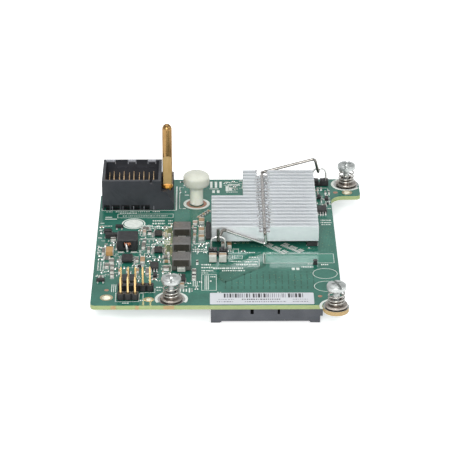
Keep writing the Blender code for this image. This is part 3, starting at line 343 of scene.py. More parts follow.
@dataclass(frozen=True)
class BrushedFinish(Finish):
    """Metal with fine lines along one way, and slow clouds in its gloss."""

    lines: float = 0.06
    run: Point = (60, 1, 1)

    def draw(self, sheet: Sheet) -> None:
        """Draws the metal.

        Args:
            sheet: the nodes to draw with.
        """
        lines, clouds = sheet.noise(self.lines, self.run), sheet.noise(self.cloud, detail=4.0)
        both = sheet.weigh(lines, 0.6, clouds, 0.4)
        share = sheet.remap(both, 0.0, 1.0, 0.33, 0.67)
        sheet.give(
            Base_Color=sheet.blend(share, self.deep, self.pale), Metallic=self.metal,
            Roughness=sheet.remap(both, self.gloss[1], self.gloss[0], 0.3, 0.7),
        )
        sheet.bump(lines, self.relief, 0.015)


@dataclass(frozen=True)
class NylonFinish(Finish):
    """Natural nylon: milky, with light soaking into it and a soft sheen."""

    def draw(self, sheet: Sheet) -> None:
        """Draws the nylon.

        Args:
            sheet: the nodes to draw with.
        """
        super().draw(sheet)
        sheet.give(Subsurface_Weight=0.55, Subsurface_Radius=(1.0, 0.95, 0.75), Subsurface_Scale=0.0025)


class Finishes:
    """Every finish of the card: name, slot, pale and deep colour, gloss, metal, cloud size, grain size, relief."""

    MASK = MaskFinish("green_solder_mask", Slot.MASK, (46, 112, 96), (30, 94, 78), (0.07, 0.13))
    TRACE = MaskFinish("mask_over_copper", Slot.MASK, (58, 126, 108), (44, 110, 92), (0.08, 0.15))
    BARE = MaskFinish("mask_over_bare_laminate", Slot.MASK, (30, 90, 74), (18, 74, 58), (0.08, 0.15))
    SHADE = MaskFinish("mask_over_ground", Slot.MASK, (37, 99, 83), (23, 82, 66), (0.07, 0.13))
    EDGE = LaminateFinish("routed_laminate_edge", Slot.MASK, (172, 184, 134), (130, 148, 92), (0.5, 0.7))
    EDGE_TAN = LaminateFinish("tan_laminate_edge", Slot.MASK, (196, 170, 122), (156, 128, 80), (0.4, 0.6))
    BARREL = Finish("plated_hole_wall", Slot.MASK, (246, 244, 232), (226, 222, 200), (0.2, 0.35), 0.5, 1.2, 0.2, 0.1)
    VIA = Finish("masked_via", Slot.MASK, (104, 134, 104), (80, 112, 84), (0.2, 0.35), cloud=0.8)
    PRINT = Finish("white_board_print", Slot.MASK, (232, 236, 230), (200, 208, 200), (0.45, 0.6), cloud=1.2)
    LABEL = Finish("label_paper", Slot.MASK, (209, 211, 215), (197, 200, 204), (0.3, 0.42), cloud=6.0, relief=0.05)
    LABEL_INK = Finish("label_ink", Slot.MASK, (44, 42, 48), (22, 20, 26), (0.35, 0.5), cloud=0.6)
    LABEL_GREY = Finish("faint_label_ink", Slot.MASK, (140, 140, 148), (108, 108, 116), (0.35, 0.5), cloud=0.6)
    PAD = Finish("tinned_pad", Slot.MASK, (222, 222, 218), (190, 190, 184), (0.3, 0.5), 0.35, 0.8, 0.2, 0.2)
    RING = Finish("tan_plated_ring", Slot.MASK, (206, 194, 160), (176, 160, 124), (0.25, 0.4), 0.6, 1.2, 0.2, 0.1)
    BROWN_PAD = Finish("bare_ring_round_knob", Slot.MASK, (176, 132, 112), (150, 104, 84), (0.4, 0.6), cloud=1.5)
    HEADER = Finish("header_moulding", Slot.HEADER, (54, 56, 62), (34, 36, 41), (0.3, 0.46), cloud=5.0, grain=0.1)
    # Near-black plastic of the tail combs and of the plate under them: painted shade seen through the front wall's
    # windows.
    HEADER_SHADE = Finish("header_inner_moulding", Slot.HEADER, (20, 21, 24), (12, 13, 15), (0.4, 0.6), cloud=2.0)
    # Pale grey plastic: a painted highlight on the window dividers, and the pale rims of the lead-ins on the back wall.
    HEADER_PALE = Finish("rubbed_header_edge", Slot.HEADER, (166, 168, 174), (112, 114, 120), (0.4, 0.6), cloud=0.7)
    # Pale and nearly unmetallic gold, so that the blade tips read bright in the dark cavity: the gilt's own colour with
    # a painted highlight.
    BLADE = BrushedFinish(
        "blade_gilding", Slot.CONTACT, (255, 228, 186), (242, 204, 154), (0.3, 0.42), 0.1, 1.6, relief=0.05,
        run=(1, 1, 8)
    )
    WHITE_END = Finish("white_tinned_end", Slot.TIN, (214, 216, 208), (190, 192, 184), (0.3, 0.45), 0.3, 0.8, 0.2, 0.2)
    LOOP = Finish("bright_loop_wire", Slot.TIN, (238, 238, 236), (214, 214, 210), (0.2, 0.34), 0.8, 0.9, 0.2, 0.06)
    COIL_BLACK = Finish(
        "inductor_moulding", Slot.CHIP, (42, 44, 46), (27, 29, 31), (0.4, 0.55), cloud=2.4, grain=0.1, relief=0.3
    )
    SLOT_SHADE = Finish("connector_slot_shade", Slot.CONNECTOR, (9, 9, 10), (5, 5, 6), (0.6, 0.8), cloud=2.0, ior=1.1)
    CONNECTOR = Finish("connector_moulding", Slot.CONNECTOR, (78, 81, 87), (56, 59, 65), (0.34, 0.5), cloud=7.0)
    PIN_BASE = Finish("pin_base_moulding", Slot.PIN_BASE, (44, 43, 44), (24, 24, 26), (0.3, 0.5), cloud=1.5)
    CONTACT = BrushedFinish(
        "contact_gilding", Slot.CONTACT, (244, 216, 160), (216, 178, 112), (0.2, 0.34), 1.0, 1.6, relief=0.08,
        run=(1, 1, 14)
    )
    # The pin's gilt is darker than the contacts' gold, standing in for the dark reflections on its round shank: partly
    # painted shade.
    GUIDE = BrushedFinish(
        "guide_pin_gilding", Slot.GUIDE, (176, 142, 94), (140, 108, 66), (0.22, 0.3), 1.0, 3.0, relief=0.04,
        run=(1, 1, 90)
    )
    # Paler on the milled flat: rougher metal, and partly a painted highlight.
    GUIDE_FLAT = BrushedFinish(
        "guide_pin_flat", Slot.GUIDE, (232, 198, 142), (206, 166, 108), (0.34, 0.44), 0.8, 3.0, relief=0.05,
        run=(1, 1, 60)
    )
    # Dark gilt on the round faces either side of the flat: painted shade.
    GUIDE_SHADE = BrushedFinish(
        "guide_pin_tarnish", Slot.GUIDE, (112, 80, 44), (82, 56, 28), (0.24, 0.34), 0.9, 3.0, relief=0.04,
        run=(1, 1, 90)
    )
    GUIDE_FOOT = Finish("guide_pin_foot", Slot.GUIDE, (238, 178, 88), (204, 140, 60), (0.24, 0.36), 0.9, 1.4, 0.3, 0.1)
    NYLON = NylonFinish(
        "milky_nylon", Slot.NYLON, (210, 212, 201), (197, 199, 185), (0.3, 0.42), cloud=3.0, grain=0.5, relief=0.06
    )
    # Paler nylon for the post, which lies under the head: painted light.
    NYLON_POST_LIT = NylonFinish(
        "milky_nylon_post", Slot.NYLON, (242, 243, 230), (230, 232, 216), (0.3, 0.42), cloud=3.0, grain=0.5, relief=0.06
    )
    SINK = BrushedFinish("brushed_aluminium", Slot.ALUMINIUM, (241, 244, 245), (227, 230, 233), (0.35, 0.43), 0.68, 6.0)
    CHIP = Finish("moulded_chip", Slot.CHIP, (50, 50, 50), (30, 30, 31), (0.4, 0.6), cloud=1.4, grain=0.08, relief=0.35)
    LID = BrushedFinish("processor_lid", Slot.CHIP, (150, 152, 156), (120, 122, 126), (0.35, 0.5), 1.0, 4.0)
    NICKEL = Finish(
        "nickelled_steel", Slot.NICKEL, (204, 208, 206), (166, 170, 168), (0.28, 0.38), 0.7, 2.2, 0.25, 0.08
    )
    FLANGE = Finish("turned_flange", Slot.NICKEL, (186, 178, 170), (138, 130, 122), (0.24, 0.36), 0.9, 2.0, 0.25, 0.08)
    SPRING = BrushedFinish("spring_wire", Slot.SPRING, (208, 206, 200), (154, 151, 144), (0.18, 0.28), 1.0, 1.2)
    CLIP = BrushedFinish("clip_wire", Slot.SPRING, (158, 155, 150), (100, 96, 90), (0.12, 0.2), 1.0, 2.2)
    # Brighter clip wire for a sleeve over the front run: painted highlight.
    CLIP_HIGHLIGHT = BrushedFinish("bright_clip_run", Slot.SPRING, (244, 243, 240), (186, 184, 180), (0.1, 0.18), 1.0, 2.2)
    # Speckled pale and dark along the wire's run in the channel: painted highlights and shade among the burrs.
    CLIP_SPECKLE = Finish("scuffed_clip_run", Slot.SPRING, (232, 228, 224), (74, 70, 68), (0.3, 0.5), 0.6, 0.35, 0.3, 0.4)
    BURR = Finish("sawn_fin_burr", Slot.ALUMINIUM, (188, 186, 184), (96, 94, 92), (0.3, 0.5), 0.6, 0.5, 0.2, 0.3)
    TIN = Finish("solder_tin", Slot.TIN, (214, 214, 212), (176, 176, 174), (0.2, 0.42), 1.0, 0.8, 0.2, 0.3)
    FERRITE = Finish(
        "ferrite_core", Slot.FERRITE, (88, 85, 81), (58, 56, 52), (0.38, 0.6), cloud=0.8, grain=0.25, relief=0.4,
        ior=2.1
    )
    # Darker patches on the cores' front and back faces: painted shade.
    FERRITE_SHADE = Finish(
        "ferrite_pressed_face", Slot.FERRITE, (60, 56, 48), (38, 35, 29), (0.4, 0.6), cloud=1.2, grain=0.15, relief=0.3
    )
    ENAMEL = BrushedFinish(
        "enamelled_wire", Slot.ENAMEL, (246, 178, 140), (206, 116, 74), (0.24, 0.36), 0.6, 1.0, run=(6, 6, 6)
    )
    CERAMIC = Finish("capacitor_body", Slot.CERAMIC, (178, 148, 116), (148, 118, 88), (0.4, 0.55), cloud=1.0)
    PINK_CERAMIC = Finish("pink_capacitor_body", Slot.CERAMIC, (188, 166, 150), (158, 136, 120), (0.4, 0.55), cloud=0.9)
    OLIVE_PART = Finish("olive_small_part", Slot.TANTALUM, (94, 112, 78), (72, 88, 58), (0.4, 0.55), cloud=0.9)
    TANTALUM = Finish("tan_capacitor_body", Slot.TANTALUM, (190, 152, 98), (162, 124, 74), (0.35, 0.5), cloud=1.2)
    RESISTOR = Finish("resistor_glaze", Slot.CHIP, (46, 46, 50), (26, 26, 30), (0.2, 0.35), cloud=0.8)
    GREY_PART = Finish("grey_small_part", Slot.CHIP, (132, 128, 122), (96, 92, 86), (0.35, 0.5), cloud=0.8)


def recipe_input(tree: bpy.types.NodeTree, name: str, kind: str, value: object = None) -> str:
    """Adds a named input to a tree.

    Args:
        tree: the tree.
        name: the input's name.
        kind: the socket's type.
        value: what it is where it isn't set.

    Returns:
        The socket's identifier, by which a modifier sets it.
    """
    made = tree.interface.new_socket(name, in_out="INPUT", socket_type=kind)
    if value is not None:
        made.default_value = value
    return made.identifier


class Recipe(Nodes):
    """A Geometry Nodes tree that is run on a mesh, and gives a plain mesh back."""

    def __init__(self, name: str, inputs: Sequence[tuple[str, str, object]]) -> None:
        """Makes the tree with its inputs.

        Args:
            name: the tree's name.
            inputs: name, socket type and plain value of each input.
        """
        super().__init__(bpy.data.node_groups.new(name, "GeometryNodeTree"))
        recipe_input(self.tree, "Geometry", "NodeSocketGeometry")
        self.keys = {label: recipe_input(self.tree, label, kind, value) for label, kind, value in inputs}
        self.tree.interface.new_socket("Geometry", in_out="OUTPUT", socket_type="NodeSocketGeometry")
        self.start = self.tree.nodes.new("NodeGroupInput")
        self.end = self.tree.nodes.new("NodeGroupOutput")

    def close(self, geometry: Socket) -> None:
        """Ends the tree: makes copies real and gives them their material.

        Args:
            geometry: what the tree has made.
        """
        real = self.step("GeometryNodeRealizeInstances", {"Geometry": geometry})
        skin = self.step(
            "GeometryNodeSetMaterial", {"Geometry": real.outputs[0], "Material": self.start.outputs["Material"]}
        )
        self.join(skin.outputs[0], self.end.inputs[0])

    def run(self, mesh: bpy.types.Mesh, values: dict[str, object]) -> bpy.types.Mesh:
        """Runs the tree on a mesh.

        Args:
            mesh: what goes in.
            values: the inputs by name.

        Returns:
            The plain mesh that comes out.
        """
        carrier = bpy.data.objects.new("carrier", mesh)
        bpy.context.scene.collection.objects.link(carrier)
        modifier = carrier.modifiers.new(self.tree.name, "NODES")
        modifier.node_group = self.tree
        for name, value in values.items():
            modifier[self.keys[name]] = value
        bpy.context.view_layer.update()
        made = bpy.data.meshes.new_from_object(carrier.evaluated_get(bpy.context.evaluated_depsgraph_get()))
        carrier.modifiers.clear()
        bpy.data.objects.remove(carrier, do_unlink=True)
        return made


class Sweep(Recipe):
    """Runs a round or a flat section along paths: wires, springs and traces."""

    def __init__(self) -> None:
        """Makes the tree."""
        super().__init__("sweep_along_path", [
            ("Radius", "NodeSocketFloat", 0.5),
            ("Sides", "NodeSocketInt", 16),
            ("Flat", "NodeSocketBool", False),
            ("Width", "NodeSocketFloat", 0.3),
            ("Thickness", "NodeSocketFloat", 0.02),
            ("Material", "NodeSocketMaterial", None),
        ])
        given = self.start.outputs
        path = self.step("GeometryNodeMeshToCurve", {"Mesh": given["Geometry"]})
        twisted = self.step("GeometryNodeSetCurveNormal", {"Curve": path.outputs[0]}, mode="MINIMUM_TWIST")
        level = self.step("GeometryNodeSetCurveNormal", {"Curve": path.outputs[0]}, mode="Z_UP")
        upright = self.choice(given["Flat"], twisted, level)
        ring = self.step("GeometryNodeCurvePrimitiveCircle", {"Resolution": given["Sides"], "Radius": given["Radius"]})
        strip = self.step(
            "GeometryNodeCurvePrimitiveQuadrilateral", {"Width": given["Width"], "Height": given["Thickness"]}
        )
        section = self.choice(given["Flat"], ring, strip)
        tube = self.step("GeometryNodeCurveToMesh", {"Curve": upright, "Profile Curve": section, "Fill Caps": True})
        self.close(tube.outputs[0])

    def choice(self, factor: Socket, no: bpy.types.Node, yes: bpy.types.Node) -> Socket:
        """Gives the shape of the one node or of the other."""
        links = {"Switch": factor, "False": no.outputs[0], "True": yes.outputs[0]}
        return self.step("GeometryNodeSwitch", links, input_type="GEOMETRY").outputs[0]


class Scatter(Recipe):
    """Sets copies of a pattern on points, each with its own size and turn, a little uneven where asked."""

    def __init__(self) -> None:
        """Makes the tree."""
        super().__init__("copies_on_points", [
            ("Pattern", "NodeSocketObject", None),
            ("Unevenness", "NodeSocketFloat", 0.0),
            ("Seed", "NodeSocketInt", 7),
            ("Material", "NodeSocketMaterial", None),
        ])
        given = self.start.outputs
        shape = self.step("GeometryNodeObjectInfo", {"Object": given["Pattern"], "As Instance": True})
        size = self.step("GeometryNodeInputNamedAttribute", {"Name": "size"}, data_type="FLOAT_VECTOR")
        turn = self.step("GeometryNodeInputNamedAttribute", {"Name": "turn"}, data_type="FLOAT")
        chance = self.step("FunctionNodeRandomValue", {"Seed": given["Seed"]}, data_type="FLOAT_VECTOR")
        chance.inputs["Min"].default_value = (-1, -1, -1)
        links = {0: chance.outputs[0], "Scale": given["Unevenness"]}
        less = self.step("ShaderNodeVectorMath", links, operation="SCALE").outputs[0]
        links = {0: less, 1: size.outputs[0], 2: size.outputs[0]}
        grown = self.step("ShaderNodeVectorMath", links, operation="MULTIPLY_ADD")
        about = self.step("ShaderNodeCombineXYZ", {"Z": turn.outputs[0]})
        copies = self.step("GeometryNodeInstanceOnPoints", {
            "Points": given["Geometry"],
            "Instance": shape.outputs["Geometry"],
            "Rotation": about.outputs[0],
            "Scale": grown.outputs[0],
        })
        self.close(copies.outputs[0])


class Workshop:
    """What every sub-assembly shares: the board's place and the two recipes."""

    def __init__(self) -> None:
        """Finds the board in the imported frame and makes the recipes."""
        low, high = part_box("circuit_board")
        corner = Vector((low.x, low.y + FRONT_EAR_REACH * MM, high.z))
        self.to_world = Matrix.Translation(corner) @ Matrix.Scale(MM, 4)
        self.to_board = self.to_world.inverted()
        self.nodes = sorted(thing.name for thing in bpy.data.objects if thing.type == "MESH")
        self.sweep = Sweep()
        self.scatter = Scatter()

    def box(self, node: str) -> tuple[Vector, Vector]:
        """Gives a CAD node's lowest and highest corners in board millimetres."""
        low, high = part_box(node)
        return self.to_board @ low, self.to_board @ high

    def middle(self, node: str) -> Flat:
        """Gives a CAD node's middle as seen from above."""
        low, high = self.box(node)
        return (low.x + high.x) / 2, (low.y + high.y) / 2

    def settle(
        self, name: str, mesh: bpy.types.Mesh, finishes: Sequence[Finish], body: str, smooth: float,
        stands_for: Sequence[str]
    ) -> bpy.types.Object:
        """Puts a finished mesh in the scene and on its body.

        Args:
            name: the piece's name.
            mesh: its mesh, in board millimetres.
            finishes: its finishes, in the order of its faces' numbers.
            body: the CAD body that it rides on.
            smooth: the angle up to which faces shade as one, in degrees.
            stands_for: the CAD nodes that it replaces.

        Returns:
            The piece.
        """
        mesh.name = name
        mesh.transform(self.to_world)
        if not mesh.materials:
            for finish in finishes:
                mesh.materials.append(finish.material())
        mesh.shade_smooth()
        mesh.set_sharp_from_angle(angle=math.radians(smooth))
        piece = bpy.data.objects.new(name, mesh)
        bpy.context.scene.collection.objects.link(piece)
        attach(piece, body)
        if stands_for:
            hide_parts(*stands_for)
        LOG.info("%s: %d faces on %s", name, len(mesh.polygons), body)
        return piece


@cache
def shop() -> Workshop:
    """Gives the one workshop, made on the first call."""
    return Workshop()


class Shape:
    """A mesh in the making, in board millimetres; each form in it has the number of its finish."""

    def __init__(self) -> None:
        """Starts with nothing."""
        self.mesh = bmesh.new()

    def skin(self, faces: Sequence[bmesh.types.BMFace], number: int) -> None:
        """Numbers the finish of some faces."""
        for face in faces:
            face.material_index = number

    def number(self, choose: Callable[[bmesh.types.BMFace], int]) -> Shape:
        """Numbers the finish of every face.

        Args:
            choose: gives a face's number.

        Returns:
            The shape itself.
        """
        self.mesh.normal_update()
        for face in self.mesh.faces:
            face.material_index = choose(face)
        return self

    def weld(self) -> Shape:
        """Joins points that lie together."""
        bmesh.ops.remove_doubles(self.mesh, verts=self.mesh.verts, dist=WELD)
        return self

    def prism(
        self, outline: Sequence[Flat], low: float, high: float, skin: int = 0, top: Sequence[Flat] | None = None
    ) -> Shape:
        """Adds an upright block on an outline, counter-clockwise from above, with another outline on top if given."""
        return self.between([(x, y, low) for x, y in outline], [(x, y, high) for x, y in (top or outline)], skin)

    def facing(self, outline: Sequence[Flat], near: float, far: float, skin: int = 0) -> Shape:
        """Adds a block on an upright outline that faces the front, from near to far."""
        return self.between([(x, near, z) for x, z in outline], [(x, far, z) for x, z in outline], skin)

    def between(self, first: Sequence[Point], second: Sequence[Point], skin: int = 0) -> Shape:
        """Adds a closed block between two rings of as many points.

        Args:
            first: the first ring.
            second: the second ring.
            skin: its finish.

        Returns:
            The shape itself.
        """
        below, above = ([self.mesh.verts.new(point) for point in ring] for ring in (first, second))
        faces = [self.mesh.faces.new(tuple(reversed(below))), self.mesh.faces.new(above)]
        for i in range(len(below)):
            j = (i + 1) % len(below)
            faces.append(self.mesh.faces.new((below[i], below[j], above[j], above[i])))
        self.skin(faces, skin)
        return self

    def block(self, low: Point, high: Point, skin: int = 0, taper: float = 0.0) -> Shape:
        """Adds a block between two corners.

        Args:
            low: its lowest corner.
            high: its highest corner.
            skin: its finish.
            taper: how far its top is inside its foot all round.

        Returns:
            The shape itself.
        """
        (a, b, c), (d, e, f) = low, high
        foot, top = corners(a, b, d, e), corners(a + taper, b + taper, d - taper, e - taper)
        return self.prism(foot, c, f, skin, top)

    def turned(self, profile: Sequence[Flat], place: Flat, steps: int = 64, skin: int = 0, ring: bool = False) -> Shape:
        """Adds a form turned about an upright axis.

        Args:
            profile: radius and height of each point, from the top down the outside.
            place: where the axis stands.
            steps: the number of flats round it.
            skin: its finish.
            ring: whether the profile closes on itself, off the axis.

        Returns:
            The shape itself.
        """
        rows, faces = [], []
        for radius, height in profile:
            spots = [place] if radius < 1e-6 else arc(place, radius, radius, steps=steps)[:-1]
            rows.append([self.mesh.verts.new((*spot, height)) for spot in spots])
        pairs = list(zip(rows, rows[1:]))
        if ring:
            pairs.append((rows[-1], rows[0]))
        for upper, lower in pairs:
            for step in range(steps):
                after = (step + 1) % steps
                if len(upper) == 1:
                    corners = (upper[0], lower[step], lower[after])
                elif len(lower) == 1:
                    corners = (upper[step], lower[0], upper[after])
                else:
                    corners = (upper[step], lower[step], lower[after], upper[after])
                faces.append(self.mesh.faces.new(corners))
        self.skin(faces, skin)
        return self

    def node(self, name: str) -> Shape:
        """Adds a CAD node's own form, its loose triangles joined and its flat faces made whole.

        Args:
            name: the node's name.

        Returns:
            The shape itself.
        """
        copy = bpy.data.objects[name].data.copy()
        copy.transform(shop().to_board)
        self.mesh.from_mesh(copy)
        bpy.data.meshes.remove(copy)
        self.weld()
        bmesh.ops.dissolve_limit(
            self.mesh, angle_limit=math.radians(0.5), verts=self.mesh.verts, edges=self.mesh.edges
        )
        self.skin(self.mesh.faces, 0)
        return self

    def soften(self, width: float, sharper: float = 40.0, segments: int = 2) -> Shape:
        """Rounds the edges.

        Args:
            width: how wide the rounding is.
            sharper: the least angle of an edge that is rounded, in degrees.
            segments: the number of flats across it.

        Returns:
            The shape itself.
        """
        self.mesh.normal_update()
        edges = [
            edge for edge in self.mesh.edges
            if len(edge.link_faces) == 2 and edge.calc_face_angle(0.0) > math.radians(sharper)
        ]
        bmesh.ops.bevel(
            self.mesh, geom=edges, offset=width, segments=segments, profile=0.5, affect="EDGES",
            clamp_overlap=True, material=-1,
        )
        return self

    def carve(self, cutter: Shape) -> Shape:
        """Cuts another shape out of this one.

        Args:
            cutter: the shape to cut with.

        Returns:
            The shape itself.
        """
        made = []
        for label, shape in (("work", self), ("cutter", cutter)):
            bmesh.ops.recalc_face_normals(shape.mesh, faces=shape.mesh.faces)
            mesh = bpy.data.meshes.new(label)
            shape.mesh.to_mesh(mesh)
            made.append(bpy.data.objects.new(label, mesh))
            bpy.context.scene.collection.objects.link(made[-1])
        work, tool = made
        modifier = work.modifiers.new("carve", "BOOLEAN")
        modifier.object, modifier.operation, modifier.solver = tool, "DIFFERENCE", "EXACT"
        bpy.context.view_layer.update()
        result = bpy.data.meshes.new_from_object(work.evaluated_get(bpy.context.evaluated_depsgraph_get()))
        self.mesh.clear()
        self.mesh.from_mesh(result)
        for thing in made:
            bpy.data.objects.remove(thing, do_unlink=True)
        return self

    def turn(self, degrees: float, about: Flat) -> Shape:
        """Turns the whole shape about an upright axis.

        Args:
            degrees: how far.
            about: where the axis stands.

        Returns:
            The shape itself.
        """
        centre = Matrix.Translation((*about, 0))
        turned = centre @ Matrix.Rotation(math.radians(degrees), 4, "Z") @ centre.inverted()
        bmesh.ops.transform(self.mesh, matrix=turned, verts=self.mesh.verts)
        return self

    def place(
        self, name: str, *finishes: Finish, body: str = "board", smooth: float = 20.0, stands_for: Sequence[str] = ()
    ) -> bpy.types.Object:
        """Ends the shape and puts it in the scene.

        Args:
            name: the piece's name.
            finishes: its finishes by number.
            body: the CAD body that it rides on.
            smooth: the angle up to which faces shade as one, in degrees.
            stands_for: the CAD nodes that it replaces.

        Returns:
            The piece.
        """
        bmesh.ops.recalc_face_normals(self.mesh, faces=self.mesh.faces)
        mesh = bpy.data.meshes.new(name)
        self.mesh.to_mesh(mesh)
        self.mesh.free()
        return shop().settle(name, mesh, finishes, body, smooth, stands_for)


@dataclass
class Wire:
    """A wire or strip along one or more paths."""

    name: str
    finish: Finish
    radius: float = 0.5
    sides: int = 16
    width: float = 0.0
    thickness: float = 0.02

    def make(self, *paths: Sequence[Point], body: str = "board", stands_for: Sequence[str] = ()) -> bpy.types.Object:
        """Runs the sweep along the paths.

        Args:
            paths: the points of each path, in board millimetres.
            body: the CAD body that it rides on.
            stands_for: the CAD nodes that it replaces.

        Returns:
            The piece.
        """
        points, links = [], []
        for path in paths:
            start = len(points)
            closed = Vector(path[0]).to_tuple(4) == Vector(path[-1]).to_tuple(4)
            kept = path[:-1] if closed else path
            points += kept
            links += [(start + i, start + i + 1) for i in range(len(kept) - 1)]
            if closed:
                links.append((start + len(kept) - 1, start))
        mesh = bpy.data.meshes.new(self.name)
        mesh.from_pydata(points, links, [])
        made = shop().sweep.run(mesh, {
            "Radius": self.radius, "Sides": self.sides, "Flat": self.width > 0, "Width": self.width or 1.0,
            "Thickness": self.thickness, "Material": self.finish.material(),
        })
        shape = Shape()
        shape.mesh.from_mesh(made)
        return shape.place(self.name, self.finish, body=body, smooth=40.0, stands_for=stands_for)

    def lay(self, paths: Sequence[Sequence[Flat]]) -> None:
        """Runs the sweep along level paths on the board, at half its thickness."""
        self.make(*([(x, y, self.thickness / 2) for x, y in path] for path in paths))


@dataclass
class Copies:
    """Copies of one pattern, made about its own origin and laid on points by the scatter recipe."""

    name: str
    pattern: Shape
    finish: Finish
    unevenness: float = 0.0
    spots: list[tuple[Point, Point, float]] = field(default_factory=list)

    def add(self, place: Point, size: Point = (1, 1, 1), turn: float = 0.0) -> None:
        """Adds one copy at a place, scaled along each axis and turned by so many degrees from above."""
        self.spots.append((place, size, math.radians(turn)))

    def span(self, area: Rect, foot: float, height: float) -> None:
        """Adds one copy that fills a rectangle, given by its left, front, right and back."""
        left, front, right, back = area
        self.add(((left + right) / 2, (front + back) / 2, foot), (right - left, back - front, height))

    def make(self, smooth: float = 20.0, stands_for: Sequence[str] = ()) -> None:
        """Makes the copies one plain piece on the board.

        Args:
            smooth: the angle up to which faces shade as one, in degrees.
            stands_for: the CAD nodes that it replaces.
        """
        points, sizes, turns = zip(*self.spots)
        mesh = bpy.data.meshes.new(self.name)
        mesh.from_pydata(points, [], [])
        flat = [part for size in sizes for part in size]
        mesh.attributes.new("size", "FLOAT_VECTOR", "POINT").data.foreach_set("vector", flat)
        mesh.attributes.new("turn", "FLOAT", "POINT").data.foreach_set("value", turns)
        bmesh.ops.recalc_face_normals(self.pattern.mesh, faces=self.pattern.mesh.faces)
        form = bpy.data.meshes.new(f"{self.name}_pattern")
        self.pattern.mesh.to_mesh(form)
        holder = bpy.data.objects.new(f"{self.name}_pattern", form)
        bpy.context.scene.collection.objects.link(holder)
        made = shop().scatter.run(mesh, {
            "Pattern": holder, "Unevenness": self.unevenness, "Seed": 7, "Material": self.finish.material(),
        })
        bpy.data.objects.remove(holder, do_unlink=True)
        for label in ("size", "turn"):
            if label in made.attributes:
                made.attributes.remove(made.attributes[label])
        shop().settle(self.name, made, [self.finish], "board", smooth, stands_for)


def unit_block(taper: float = 0.0) -> Shape:
    """Gives a block one millimetre each way, its foot at the ground, its top drawn in by the taper."""
    return Shape().block((-0.5, -0.5, 0), (0.5, 0.5, 1), taper=taper)


def soft_block(edge: float = 0.06) -> Shape:
    """Gives the same block with rounded edges."""
    return unit_block().soften(edge, segments=1)


def arc(place: Flat, wide: float, tall: float, start: float = 0, end: float = 360, steps: int = 64) -> list[Flat]:
    """Gives the points of an oval, or of an arc of it between two angles in degrees, both ends with them."""
    angles = [math.radians(start + (end - start) * step / steps) for step in range(steps + 1)]
    return [(place[0] + wide * math.cos(angle), place[1] + tall * math.sin(angle)) for angle in angles]


def corners(left: float, front: float, right: float, back: float) -> list[Flat]:
    """Gives a rectangle's corners, counter-clockwise from the first."""
    return [(left, front), (right, front), (right, back), (left, back)]


def moved(place: Flat, along: float, across: float, turn: float) -> Flat:
    """Gives the spot that lies so far along and across an axis, turned by so many degrees, from a place."""
    ahead, aside = math.cos(math.radians(turn)), math.sin(math.radians(turn))
    return place[0] + along * ahead - across * aside, place[1] + along * aside + across * ahead


def flat_ring(name: str, finish: Finish, place: Flat, radii: Flat, heights: Flat, steps: int = 72) -> None:
    """Sets a flat ring on the board.

    Args:
        name: the piece's name.
        finish: its finish.
        place: its middle.
        radii: its inner and outer radius.
        heights: where its underside and its top are.
        steps: the number of flats round it.
    """
    (inner, outer), (low, high) = radii, heights
    ring = Shape().turned([(inner, high), (outer, high), (outer, low), (inner, low)], place, steps, ring=True)
    ring.place(name, finish, smooth=40.0)


def bent(corners: Sequence[Point], radius: float, steps: int = 8) -> list[Point]:
    """Rounds the corners of a path as a bent wire's are.

    Args:
        corners: the path's corners.
        radius: how far from a corner each bend starts, at most.
        steps: the number of straight pieces in each bend.

    Returns:
        The points of the bent path.
    """
    spots = [Vector(corner) for corner in corners]
    path = [spots[0]]
    for before, corner, after in zip(spots, spots[1:], spots[2:]):
        back, ahead = before - corner, after - corner
        reach = min(radius, back.length * 0.48, ahead.length * 0.48)
        start, end = corner + back.normalized() * reach, corner + ahead.normalized() * reach
        for step in range(steps + 1):
            share = step / steps
            path.append(start * (1 - share) ** 2 + corner * 2 * share * (1 - share) + end * share ** 2)
    path.append(spots[-1])
    return [tuple(spot) for spot in path]


def soften_node(node: str, name: str, finish: Finish, edge: float, segments: int = 2) -> None:
    """Gives a CAD node rounded edges and a finish, in a piece that stands for it."""
    Shape().node(node).soften(edge, segments=segments).place(name, finish, stands_for=[node])


@dataclass
class CircuitBoard:
    """The laminate with its mask, and the stains on its front edge."""

    ear_corner: Flat = (79.0, 1.5)
    stains: tuple[Flat, ...] = ((25.6, 29.4), (7.2, 9.0), (15.8, 17.0))

    def build(self) -> None:
        """Builds the laminate and its stains."""
        Shape().node("circuit_board").number(self.finish).soften(0.08, 60.0, 1).place(
            "board_laminate", Finishes.MASK, Finishes.EDGE, Finishes.EDGE_TAN, smooth=25.0, stands_for=["circuit_board"]
        )
        stains = Copies("board_edge_stains", unit_block(), Finishes.EDGE_TAN)
        for left, right in self.stains:
            stains.span((left, -0.01, right, 0.01), -1.5, 1.4)
        stains.make()

    def finish(self, face: bmesh.types.BMFace) -> int:
        """Tells the masked faces, the edge and the front ear's edge apart.

        Args:
            face: a face of the board.

        Returns:
            The number of its finish.
        """
        if abs(face.normal.z) > 0.7:
            return 0
        middle = face.calc_center_median()
        return 2 if middle.x > self.ear_corner[0] and middle.y < self.ear_corner[1] else 1


